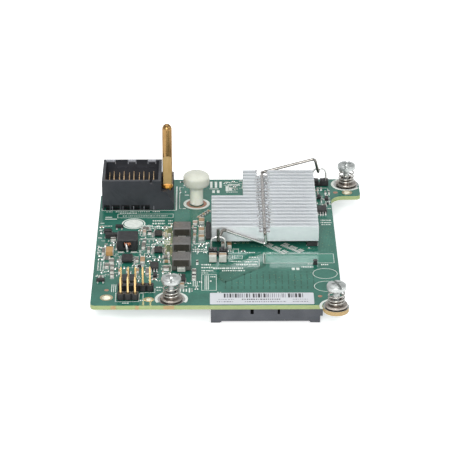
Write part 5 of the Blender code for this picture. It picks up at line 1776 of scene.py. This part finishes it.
    def dashes(self) -> None:
        """Prints the rows of uneven dashes and the plain squares."""
        chance = random.Random(self.seed)
        marks = Copies("board_print_dashes", unit_block(), Finishes.PRINT)
        style = DashStyle((0.28, 0.75), (0.16, 0.34), (0.7, 1.0), 0.0, self.lift, 0.15)
        for row in self.rows:
            style.row(marks, chance, row)
        for square in self.squares:
            marks.span(square, 0.0, self.lift)
        marks.make()


@dataclass
class Label:
    """The paper label at the front edge, with plain bars and rows of dashes."""

    low: Flat = (41.8, 0.7)
    high: Flat = (78.3, 9.3)
    corner: float = 0.5
    paper: float = 0.09
    ink: float = 0.012
    seed: int = 3
    bars: float = 7.2
    bar_height: float = 3.1
    bar_run: Flat = (46.3, 74.0)
    dark_bars: tuple[float, ...] = (47.0, 49.0, 50.9, 54.8, 57.2, 59.1, 61.0, 69.6, 72.1, 73.5)
    rows: tuple[tuple[float, float, float, float, bool], ...] = (
        (44.8, 50.2, 4.3, 0.55, False), (53.0, 66.4, 4.35, 0.85, True), (70.8, 76.2, 4.3, 0.5, False),
        (44.2, 49.9, 2.6, 0.7, False), (54.0, 68.6, 2.55, 0.75, False), (70.8, 76.2, 2.6, 0.65, False),
    )

    def build(self) -> None:
        """Builds the paper and its ink."""
        (a, b), (c, d), r = self.low, self.high, self.corner
        outline = []
        for x, y, start in ((c - r, d - r, 0), (a + r, d - r, 90), (a + r, b + r, 180), (c - r, b + r, 270)):
            outline += arc((x, y), r, r, start, start + 90, 5)
        Shape().prism(outline, 0.0, self.paper).place("label_paper", Finishes.LABEL)
        chance = random.Random(self.seed)
        marks = Copies("label_marks", unit_block(), Finishes.LABEL_INK)
        faint = Copies("label_faint_marks", unit_block(), Finishes.LABEL_GREY)
        for x in self.dark_bars:
            self.bar(marks, x, chance.uniform(0.55, 0.8))
            self.bar(marks, x + chance.uniform(0.75, 0.95), 0.24)
        x, end = self.bar_run
        while x < end:
            if not any(abs(x - bar) < 0.75 for bar in self.dark_bars):
                self.bar(faint, x, chance.uniform(0.16, 0.36))
            x += chance.uniform(0.5, 0.75)
        style = DashStyle((0.3, 0.8), (0.2, 0.4), (0.75, 1.0), self.paper, self.ink)
        for *row, dark in self.rows:
            style.row(marks if dark else faint, chance, row)
        marks.make()
        faint.make()

    def bar(self, marks: Copies, x: float, width: float) -> None:
        """Adds one upright bar to a set."""
        marks.add((x, self.bars, self.paper), (width, self.bar_height, self.ink))


@dataclass
class BareMetal:
    """The bare metal in the mask's openings, and the copper that shows through it."""

    lift: float = 0.035
    trace: float = 0.018
    seed: int = 21
    holes: tuple[tuple[str, Flat, float, float], ...] = (
        ("left", (5.5, 6.1), 1.62, 2.3), ("right", (20.4, 4.6), 1.1, 1.8), ("ear", (94.8, 93.4), 1.3, 2.0),
    )
    dots: tuple[tuple[Flat, float], ...] = (((5.3, 11.8), 1.6), ((80.5, 6.7), 1.6), ((90.3, 93.5), 1.8))
    via_zones: tuple[tuple[Flat, Flat, int], ...] = (
        ((45, 17), (79, 26), 26), ((62, 41), (80, 49), 16), ((32, 86), (41, 104), 12), ((83, 42), (87.5, 62), 16),
        ((30, 70), (40, 78), 10),
    )
    copper_edge: tuple[Flat, ...] = (
        (61.6, 39.8), (61.4, 30.5), (57.6, 27.2), (53.4, 23.5), (49.4, 19.6), (46.9, 17.6), (45.4, 20.7), (44.6, 23.4),
    )
    copper_area: tuple[Flat, ...] = ((46.9, 17.9), (61.2, 30.2), (61.2, 31.6), (45.6, 31.6), (44.8, 23.4))

    def build(self) -> None:
        """Builds the rings, the dots, the vias and the traces."""
        for name, reach in (("front_left", 4.85), ("front_right", 4.5), ("rear_right", 4.85)):
            place = shop().middle(f"{name}_ferrule")
            flat_ring(f"{name}_ground_pad", Finishes.TIN, place, (3.2, reach), (0.0, self.lift))
        place = shop().middle("pull_knob")
        flat_ring("knob_bare_ring", Finishes.BROWN_PAD, place, (2.75, 3.9), (0.0, self.lift * 0.5))
        for side, place, inner, outer in self.holes:
            name, wall = f"{side}_tooling_ring", (inner - 0.08, inner - 0.02)
            flat_ring(name, Finishes.RING, place, (inner, outer), (0.0, self.lift), 56)
            flat_ring(f"{name}_barrel", Finishes.BARREL, place, wall, (-BOARD_THICKNESS, 0.0), 56)
        dots = Copies(
            "alignment_dots", Shape().prism(arc((0, 0), 0.5, 0.5, steps=32)[:-1], 0.0, 1.0), Finishes.BROWN_PAD
        )
        for place, size in self.dots:
            dots.add((*place, 0.0), (size, size, self.lift * 0.6))
        dots.make(smooth=40.0)
        self.vias()
        self.gaps()
        Wire("copper_area_edge", Finishes.BARE, width=1.2, thickness=self.trace).lay([self.copper_edge])
        Shape().prism(self.copper_area, 0.0, self.trace / 3).place("copper_area", Finishes.SHADE)
        self.traces()

    def vias(self) -> None:
        """Sets the small via rings."""
        ring = Shape().turned([(0.5, 1.0), (0.85, 1.0), (1.0, 0.0), (0.5, 0.0)], (0, 0), 14, ring=True)
        rings = Copies("via_rings", ring, Finishes.VIA)
        spots = [(x, 49.5, 0.62) for x in (48.5, 50.3, 52.5, 54.2, 55.8)]
        spots += [(76.2 + 1.4 * i, 44.8, 0.3) for i in range(3)] + [(57.2 + 1.3 * i, 46.6, 0.3) for i in range(4)]
        chance = random.Random(self.seed)
        for (left, front), (right, back), count in self.via_zones:
            spots += [(chance.uniform(left, right), chance.uniform(front, back), 0.22) for _ in range(count)]
        for x, y, radius in spots:
            rings.add((x, y, 0.0), (radius, radius, self.lift))
        rings.make(smooth=40.0)

    def gaps(self) -> None:
        """Lays the darker gaps between the copper runs under the mask."""
        gaps = Copies("mask_over_gaps", unit_block(), Finishes.BARE)
        for column in range(15):
            x = 47.3 + column * 2.24
            gaps.add((x, 13.6, 0.0), (0.5, 2.2, self.trace))
            gaps.add((x + 0.1, 17.6, 0.0), (0.4, 3.6, self.trace))
            if x > 52:
                gaps.add((x + 0.15, 22.2, 0.0), (0.4, 4.0, self.trace))
            if x > 56:
                gaps.add((x + 0.2, 25.6, 0.0), (0.8, 0.6, self.trace))
        gaps.make()

    def traces(self) -> None:
        """Lays the paler copper runs under the mask."""
        paths = []
        for x in (66.0 + 0.5 * i for i in range(10)):
            paths.append([(x, 27.0), (x, 31.5), (x - 2.0, 33.5), (x - 2.0, 40.0), (x - 4.0, 42.0), (x - 4.0, 47.5)])
        for y in (8.2 + 0.5 * i for i in range(6)):
            paths.append([(33.5, y), (38.0, y), (40.2, y + 1.6), (41.5, y + 1.6)])
        for x in (82.6 + 0.55 * i for i in range(7)):
            paths.append([(x, 42.5), (x, 60.0), (x - 0.6, 62.0)])
        for x in (31.4 + 0.6 * i for i in range(6)):
            paths += [[(x, 74.6), (x, 78.4)], [(x, 93.0), (x, 103.5)]]
        Wire("traces_under_mask", Finishes.TRACE, width=0.22, thickness=self.trace).lay(paths)


class Kind(Enum):
    """The kinds of small board part, each with its body's finish."""

    CERAMIC = "CERAMIC"
    PINK = "PINK_CERAMIC"
    RESISTOR = "RESISTOR"
    GREY = "GREY_PART"
    OLIVE = "OLIVE_PART"
    BLACK = "CHIP"

    @property
    def finish(self) -> Finish:
        """The finish of its body."""
        return getattr(Finishes, self.value)


@dataclass
class SmallParts:
    """The many small parts soldered round the big ones."""

    seed: int = 17
    margin: float = 0.18
    over: float = 0.14
    passives: tuple[tuple[Kind, float, float, float, float, float], ...] = (
        (Kind.CERAMIC, 37.7, 64.6, 39.8, 68.7, 1.5), (Kind.CERAMIC, 37.7, 57.0, 39.8, 60.6, 1.5),
        (Kind.CERAMIC, 37.7, 51.0, 39.8, 54.2, 1.5), (Kind.CERAMIC, 48.2, 44.6, 49.8, 48.4, 1.3),
        (Kind.CERAMIC, 16.6, 32.2, 18.3, 37.3, 0.9), (Kind.GREY, 16.8, 44.0, 18.2, 49.0, 1.0),
        (Kind.PINK, 16.9, 56.2, 18.2, 59.8, 0.9), (Kind.OLIVE, 26.1, 40.0, 27.3, 47.0, 0.9),
        (Kind.OLIVE, 26.2, 55.6, 27.5, 61.4, 0.9), (Kind.CERAMIC, 31.2, 13.0, 32.7, 15.6, 1.3),
        (Kind.GREY, 6.0, 27.8, 7.4, 30.8, 1.0), (Kind.GREY, 6.0, 24.0, 7.4, 27.0, 1.0),
        (Kind.GREY, 6.2, 21.2, 7.6, 23.4, 0.9), (Kind.GREY, 5.4, 31.6, 7.2, 35.0, 1.1),
        (Kind.GREY, 3.9, 28.6, 5.4, 31.8, 0.9), (Kind.GREY, 35.4, 24.0, 36.9, 27.2, 0.8),
        (Kind.RESISTOR, 35.4, 21.4, 36.9, 23.6, 0.7), (Kind.GREY, 35.4, 19.0, 36.9, 21.0, 0.7),
        (Kind.RESISTOR, 36.8, 32.0, 37.7, 34.2, 0.7), (Kind.GREY, 25.0, 27.0, 27.2, 30.2, 0.7),
        (Kind.GREY, 18.8, 23.0, 20.0, 28.0, 0.9), (Kind.CERAMIC, 9.0, 24.2, 10.0, 27.4, 0.8),
        (Kind.CERAMIC, 11.8, 24.6, 12.8, 28.0, 0.8), (Kind.CERAMIC, 15.4, 24.6, 16.4, 28.0, 0.8),
        (Kind.GREY, 5.2, 50.8, 7.2, 53.2, 0.8), (Kind.GREY, 3.2, 35.6, 5.6, 37.8, 0.7),
        (Kind.GREY, 2.2, 21.0, 3.6, 22.4, 0.7), (Kind.RESISTOR, 18.8, 57.0, 20.2, 59.6, 0.6),
        (Kind.GREY, 16.4, 61.0, 19.6, 62.4, 0.6), (Kind.RESISTOR, 17.2, 50.0, 18.4, 52.0, 0.6),
        (Kind.GREY, 18.9, 41.8, 20.0, 45.6, 0.7), (Kind.GREY, 7.3, 44.0, 7.8, 49.0, 0.6),
        (Kind.PINK, 46.0, 46.4, 47.4, 49.0, 1.0), (Kind.GREY, 2.4, 40.0, 3.5, 44.8, 0.7),
        (Kind.CERAMIC, 35.6, 53.8, 36.7, 56.6, 0.8), (Kind.GREY, 35.5, 58.4, 36.9, 61.4, 0.8),
        (Kind.PINK, 35.5, 64.6, 37.2, 67.4, 0.8), (Kind.GREY, 35.5, 49.6, 36.5, 51.8, 0.7),
        (Kind.RESISTOR, 86.0, 92.0, 86.8, 94.0, 0.6), (Kind.RESISTOR, 87.4, 92.0, 88.2, 94.0, 0.6),
        (Kind.GREY, 83.2, 95.6, 84.0, 97.2, 0.6), (Kind.GREY, 84.5, 95.6, 85.3, 97.2, 0.6),
        (Kind.GREY, 84.6, 80.6, 86.4, 81.8, 0.6), (Kind.RESISTOR, 86.0, 82.6, 87.6, 83.6, 0.6),
        (Kind.CERAMIC, 25.0, 33.2, 27.2, 34.6, 0.7), (Kind.GREY, 24.6, 36.6, 27.0, 38.2, 0.7),
        (Kind.RESISTOR, 15.4, 29.4, 17.6, 30.6, 0.7), (Kind.GREY, 14.9, 33.6, 16.0, 37.2, 0.7),
    )
    blocks: tuple[tuple[float, float, float, float, float], ...] = (
        (3.2, 53.2, 7.6, 54.9, 1.9), (2.5, 57.6, 5.4, 59.6, 1.2), (77.5, 46.4, 81.4, 50.0, 1.7),
        (40.3, 52.0, 42.2, 66.0, 0.7), (31.6, 16.9, 33.1, 22.0, 1.3),
    )
    transistors: tuple[tuple[float, float, float], ...] = (
        (2.9, 18.9, 0.0), (8.1, 62.9, 0.0), (83.7, 88.6, 90.0), (86.6, 87.2, 90.0), (22.2, 22.6, 90.0)
    )
    zones: tuple[tuple[float, float, float, float, int], ...] = (
        (15.9, 38.0, 28.0, 65.0, 520), (1.2, 22.4, 8.6, 53.0, 200), (15.0, 18.6, 29.0, 38.0, 170),
        (35.2, 41.0, 41.0, 69.0, 150), (8.8, 24.0, 15.2, 31.4, 24), (53.0, 91.6, 55.2, 105.0, 26),
        (83.0, 80.0, 88.6, 97.0, 26), (47.6, 92.6, 53.4, 104.6, 40), (26.8, 9.8, 38.4, 25.4, 34),
        (16.2, 41.0, 27.8, 48.0, 40), (1.0, 57.0, 2.2, 64.0, 6), (48.0, 41.0, 54.4, 48.6, 20),
        (88.6, 97.0, 91.0, 105.0, 6), (30.2, 86.0, 33.0, 104.0, 8),
    )
    kept_clear: tuple[Rect, ...] = (
        (22.5, -1, 34.2, 10.8), (88.5, 95.2, 101, 107), (0, 0, 23, 14), (60, 30, 90, 41), (31, 78, 42.5, 89.5),
    )
    slants: tuple[tuple[Flat, Flat, int], ...] = (((62.6, 48.4), (69.6, 40.8), 12), ((68.6, 48.4), (75.6, 41.8), 12))
    lone_pads: tuple[Flat, ...] = (
        (1.6, 43.6), (2.2, 45.4), (1.0, 47.0), (0.9, 44.9), (16.4, 42.6), (24.8, 49.6), (51.2, 49.2), (78.2, 45.2),
    )
    sizes: tuple[Point, ...] = (
        (0.6, 0.32, 0.28), (0.6, 0.32, 0.28), (1.0, 0.5, 0.4), (1.0, 0.5, 0.4), (1.3, 0.66, 0.5),
    )
    kinds: tuple[Kind, ...] = (
        Kind.GREY, Kind.GREY, Kind.CERAMIC, Kind.RESISTOR, Kind.GREY, Kind.GREY, Kind.PINK, Kind.RESISTOR,
    )
    coil_place: Flat = (79.9, 31.9)
    coil: tuple[Flat, ...] = (
        (0, 1.7), (0.75, 1.7), (0.85, 1.6), (0.85, 1.35), (0.62, 1.2), (0.62, 0.6), (0.85, 0.45), (0.85, 0.0), (0, 0.0),
    )

    def build(self) -> None:
        """Sets the listed parts, then fills the busy zones."""
        self.chance = random.Random(self.seed)
        self.bodies = {
            kind: Copies(f"small_{kind.name.lower()}_bodies", soft_block(0.05), kind.finish) for kind in Kind
        }
        self.terminals = Copies("small_part_terminals", soft_block(0.09), Finishes.WHITE_END, 0.03)
        self.solder = Copies("small_part_solder", unit_block(0.22), Finishes.TIN, 0.08)
        self.leads = Copies("small_part_leads", soft_block(0.05), Finishes.TIN)
        self.pads = Copies("bare_pads", unit_block(0.04), Finishes.PAD)
        self.prints = Copies("board_print_part_marks", unit_block(), Finishes.PRINT)
        self.taken = self.filled()
        for kind, left, front, right, back, height in self.passives:
            self.taken.append((left, front, right, back))
            sides = (right - left, back - front)
            place = ((left + right) / 2, (front + back) / 2)
            self.passive(kind, place, max(sides), min(sides), height, 0.0 if sides[0] > sides[1] else 90.0)
        for *area, height in self.blocks:
            self.block(area, height)
        for x, y, turn in self.transistors:
            self.transistor((x, y), turn)
        self.slanted()
        self.bare_fields()
        for zone in self.zones:
            self.fill(zone)
        for copies in (*self.bodies.values(), self.terminals, self.solder, self.leads, self.pads, self.prints):
            copies.make(smooth=30.0)
        Shape().turned(self.coil, self.coil_place, 32).place("small_round_inductor", Finishes.CHIP, smooth=35.0)

    def filled(self) -> list[Rect]:
        """Gives the rectangles that the big parts already fill."""
        taken = []
        for name in shop().nodes:
            low, high = shop().box(name)
            if -0.5 < low.z < 2.5 and name != "heat_sink_clip":
                taken.append((low.x, low.y, high.x, high.y))
        return [*taken, *self.kept_clear]

    def take(self, place: Flat, wide: float, deep: float) -> None:
        """Takes the rectangle that reaches so far each way from a place."""
        self.taken.append((place[0] - wide, place[1] - deep, place[0] + wide, place[1] + deep))

    def claim(self, area: Rect) -> bool:
        """Takes a rectangle of the board if it is free.

        Args:
            area: its left, front, right and back.

        Returns:
            Whether it was free.
        """
        (left, front, right, back), gap = area, self.margin
        if any(a < right + gap and left - gap < c and b < back + gap and front - gap < d for a, b, c, d in self.taken):
            return False
        self.taken.append(area)
        return True

    def passive(self, kind: Kind, place: Flat, length: float, width: float, height: float, turn: float) -> None:
        """Sets one two-terminal part.

        Args:
            kind: its kind.
            place: its middle.
            length: its length, over both terminals.
            width: its width.
            height: its height.
            turn: its turn, in degrees; at 0 it lies from left to right.
        """
        cap = min(length * 0.22, 0.5)
        self.bodies[kind].add((*place, 0.02), (length - 2 * cap + 0.06, width * 0.95, height * 0.96), turn)
        for side in (-1, 1):
            spot = moved(place, side * (length - cap) / 2, 0.0, turn)
            self.terminals.add((*spot, 0.0), (cap, width, height), turn)
            spot = moved(place, side * (length / 2 + 0.06), 0.0, turn)
            self.solder.add((*spot, 0.0), (0.5, width * 1.12, height * 0.5), turn)

    def block(self, area: Rect, height: float) -> None:
        """Sets one black moulded part with a flat lead under each end.

        Args:
            area: its left, front, right and back.
            height: its height.
        """
        left, front, right, back = area
        self.taken.append((left, front, right, back))
        self.bodies[Kind.BLACK].span((left, front, right, back), 0.04, height)
        for x in (left, right):
            self.leads.add((x, (front + back) / 2, 0.0), (0.5, (back - front) * 0.55, 0.25))

    def transistor(self, place: Flat, turn: float) -> None:
        """Sets one three-lead transistor.

        Args:
            place: its middle.
            turn: its turn; at 0 its two leads are at the front.
        """
        self.take(place, 1.5, 1.5)
        self.bodies[Kind.BLACK].add((*place, 0.08), (2.9, 1.35, 0.95), turn)
        for across, ahead in ((-0.95, -1.0), (0.95, -1.0), (0.0, 1.0)):
            spot = moved(place, across, ahead, turn)
            self.leads.add((*spot, 0.0), (0.42, 0.85, 0.3), turn)
            self.solder.add((*spot, 0.0), (0.66, 1.05, 0.14), turn)

    def slanted(self) -> None:
        """Sets the two slanting rows by the heat sink, and the few beside it."""
        for start, end, count in self.slants:
            (x, y), (right, back) = start, end
            turn = math.degrees(math.atan2(back - y, right - x)) + 90
            for step in range(count):
                share = (step + 0.5) / count
                place = (x + (right - x) * share, y + (back - y) * share)
                for row in (-0.8, 0.8)[: 1 if step % 5 == 3 else 2]:
                    self.pads.add((*moved(place, row, 0.0, turn), 0.0), (1.35, 0.5, 0.12), turn)
                self.take(place, 1.4, 1.4)
        for step in range(5):
            place = (37.9 + 0.9 * step, 71.2 + 1.35 * step)
            self.passive(Kind.GREY if step % 2 else Kind.CERAMIC, place, 1.5, 0.8, 0.6, 146)
            self.take(place, 0.8, 0.8)

    def bare_fields(self) -> None:
        """Sets the fields of bare pads that have no part."""
        for column in range(3):
            for row in range(7):
                self.pads.add((1.5 + 0.95 * column, 27.6 + 1.05 * row, 0.0), (0.5, 0.6, 0.05))
        self.taken.append((1.0, 27.0, 4.0, 34.5))
        for column in range(5):
            for row in range(6):
                if (column * row + column) % 3 != 1:
                    self.pads.add((49.2 + 0.8 * column, 95.4 + 1.1 * row, 0.0), (0.42, 0.5, 0.05), 45.0)
        for place in self.lone_pads:
            self.pads.add((*place, 0.0), (0.7, 0.7, 0.05))

    def fill(self, zone: tuple[float, float, float, float, int]) -> None:
        """Fills a zone with small parts and bare pads wherever there is room.

        Args:
            zone: its left, front, right and back, and how many tries it gets.
        """
        (left, front, right, back, tries), draw, over = zone, self.chance, self.over
        for _ in range(tries):
            length, width, height = draw.choice(self.sizes)
            turn = draw.choice((0.0, 90.0, 90.0))
            wide, deep = (length, width) if turn == 0.0 else (width, length)
            x, y = round(draw.uniform(left, right) * 2) / 2, round(draw.uniform(front, back) * 2) / 2
            if not self.claim((x - wide / 2 - over, y - deep / 2 - over, x + wide / 2 + over, y + deep / 2 + over)):
                continue
            pick = draw.random()
            if pick < 0.2:
                for side in (-0.45, 0.45):
                    self.pads.add((*moved((x, y), side, 0.0, turn), 0.0), (0.5, 0.5, 0.06))
            elif pick < 0.5:
                for step in range(3):
                    self.prints.add(
                        (x - 0.5 + 0.5 * step, y, 0.0), (draw.uniform(0.14, 0.3), draw.uniform(0.4, 0.7), 0.03)
                    )
            else:
                self.passive(draw.choice(self.kinds), (x, y), length, width, height, turn)


@dataclass
class Studio:
    """The pale floor, the soft lights and the camera at the photograph's view."""

    eye: Point = (-0.0077, -0.7452, 0.3714)
    aim: Point = (1.1240, 0.0, -0.0070)
    lens: float = 180.0
    sensor: float = 36.0
    drop: float = 0.0002
    reach: float = 6.0
    ambient: float = 0.5
    zenith: float = 0.35

    def build(self) -> None:
        """Builds the studio."""
        self.floor()
        self.world()
        self.lamp("key_lamp", (-0.12, -0.86, 0.56), 0.5, 6.5)
        self.lamp("side_lamp", (0.75, -0.30, 0.60), 0.5, 1.6)
        self.lamp("top_lamp", (-0.10, 0.15, 0.95), 0.8, 3.4)
        data = bpy.data.cameras.new("photo_camera")
        data.lens, data.sensor_width, data.sensor_fit = self.lens, self.sensor, "HORIZONTAL"
        data.clip_start, data.clip_end = 0.05, 20.0
        camera = bpy.data.objects.new("photo_camera", data)
        camera.location, camera.rotation_euler = self.eye, self.aim
        bpy.context.scene.collection.objects.link(camera)
        bpy.context.scene.camera = camera
        bpy.context.scene.view_settings.view_transform = "Standard"

    def floor(self) -> None:
        """Lays the floor just under the card."""
        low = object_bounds()[0][2] - self.drop
        mesh = bpy.data.meshes.new("studio_floor")
        corner = [(x, y, low) for x, y in corners(-self.reach, -self.reach, self.reach, self.reach)]
        mesh.from_pydata(corner, [], [(0, 1, 2, 3)])
        material = bpy.data.materials.new("pale_floor")
        sheet = Sheet(material)
        sheet.give(
            Base_Color=(0.93, 0.93, 0.93, 1.0), Roughness=0.9, Emission_Color=(1.0, 1.0, 1.0, 1.0),
            Emission_Strength=sheet.sums("MULTIPLY", sheet.seen(), 0.5),
        )
        mesh.materials.append(material)
        floor = bpy.data.objects.new("studio_floor", mesh)
        bpy.context.scene.collection.objects.link(floor)
        floor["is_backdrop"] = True

    def world(self) -> None:
        """Sets the plain white surround, softer for light than for what the eye and gloss see."""
        world = bpy.data.worlds.new("studio_surround")
        bpy.context.scene.world = world
        world.use_nodes = True
        nodes = Nodes(world.node_tree)
        way = nodes.step("ShaderNodeTexCoord", {}).outputs["Generated"]
        rise = nodes.remap(nodes.step("ShaderNodeSeparateXYZ", {0: way}).outputs["Z"], 1.0, self.zenith, 0.08, 0.75)
        level = nodes.step("ShaderNodeMix", {0: nodes.seen(), 2: self.ambient, 3: rise}).outputs[0]
        light = nodes.step("ShaderNodeBackground", {"Color": (0.97, 0.985, 1.0, 1.0), "Strength": level}).outputs[0]
        nodes.step("ShaderNodeOutputWorld", {"Surface": light})

    def lamp(self, name: str, place: Point, side: float, watts: float) -> None:
        """Hangs one soft lamp, turned to the card.

        Args:
            name: the lamp's name.
            place: where it hangs.
            side: the side of its square.
            watts: its power.
        """
        data = bpy.data.lights.new(name, "AREA")
        data.energy, data.size = watts, side
        lamp = bpy.data.objects.new(name, data)
        lamp.location = place
        lamp.rotation_euler = (-Vector(place)).to_track_quat("-Z", "Y").to_euler()
        bpy.context.scene.collection.objects.link(lamp)


def main() -> None:
    """Builds the whole card and its studio in order."""
    logging.basicConfig(level=logging.INFO, format="%(name)s: %(message)s")
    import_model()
    shop()
    parts = [
        CircuitBoard(), MezzanineConnector(), UprightHeader(), GuidePin(), PullKnob(), HeatSink(), SpringClip(),
        CaptiveScrew("front_left", 90), CaptiveScrew("front_right", -68), CaptiveScrew("rear_right", 80),
        *(FerriteInductor(number) for number in (1, 2, 3)), PowerInductor(), PinHeader("front", 3),
        PinHeader("rear", 5),
        TwoTerminalPart("front_left_capacitor", Finishes.CERAMIC, front=1.6, back=0.3),
        TwoTerminalPart("front_right_capacitor", Finishes.CERAMIC, front=1.6, back=0.3),
        TwoTerminalPart("tantalum_capacitor", Finishes.TANTALUM, Ends.LEFT_AND_RIGHT, 0.25, 0.25),
        GullWingChip("power_switch_chip", 4), GullWingChip("controller_chip", 5, Ends.LEFT_AND_RIGHT),
        GullWingChip("memory_chip", 4, Ends.LEFT_AND_RIGHT), GullWingChip("driver_chip", 4, Ends.LEFT_AND_RIGHT),
        GullWingChip("regulator_chip", 3), GullWingChip("header_side_chip", 3),
        BoardPrint(), Label(), BareMetal(), SmallParts(),
    ]
    for part in parts:
        part.build()
    Studio().build()


if __name__ == "__main__":
    main()
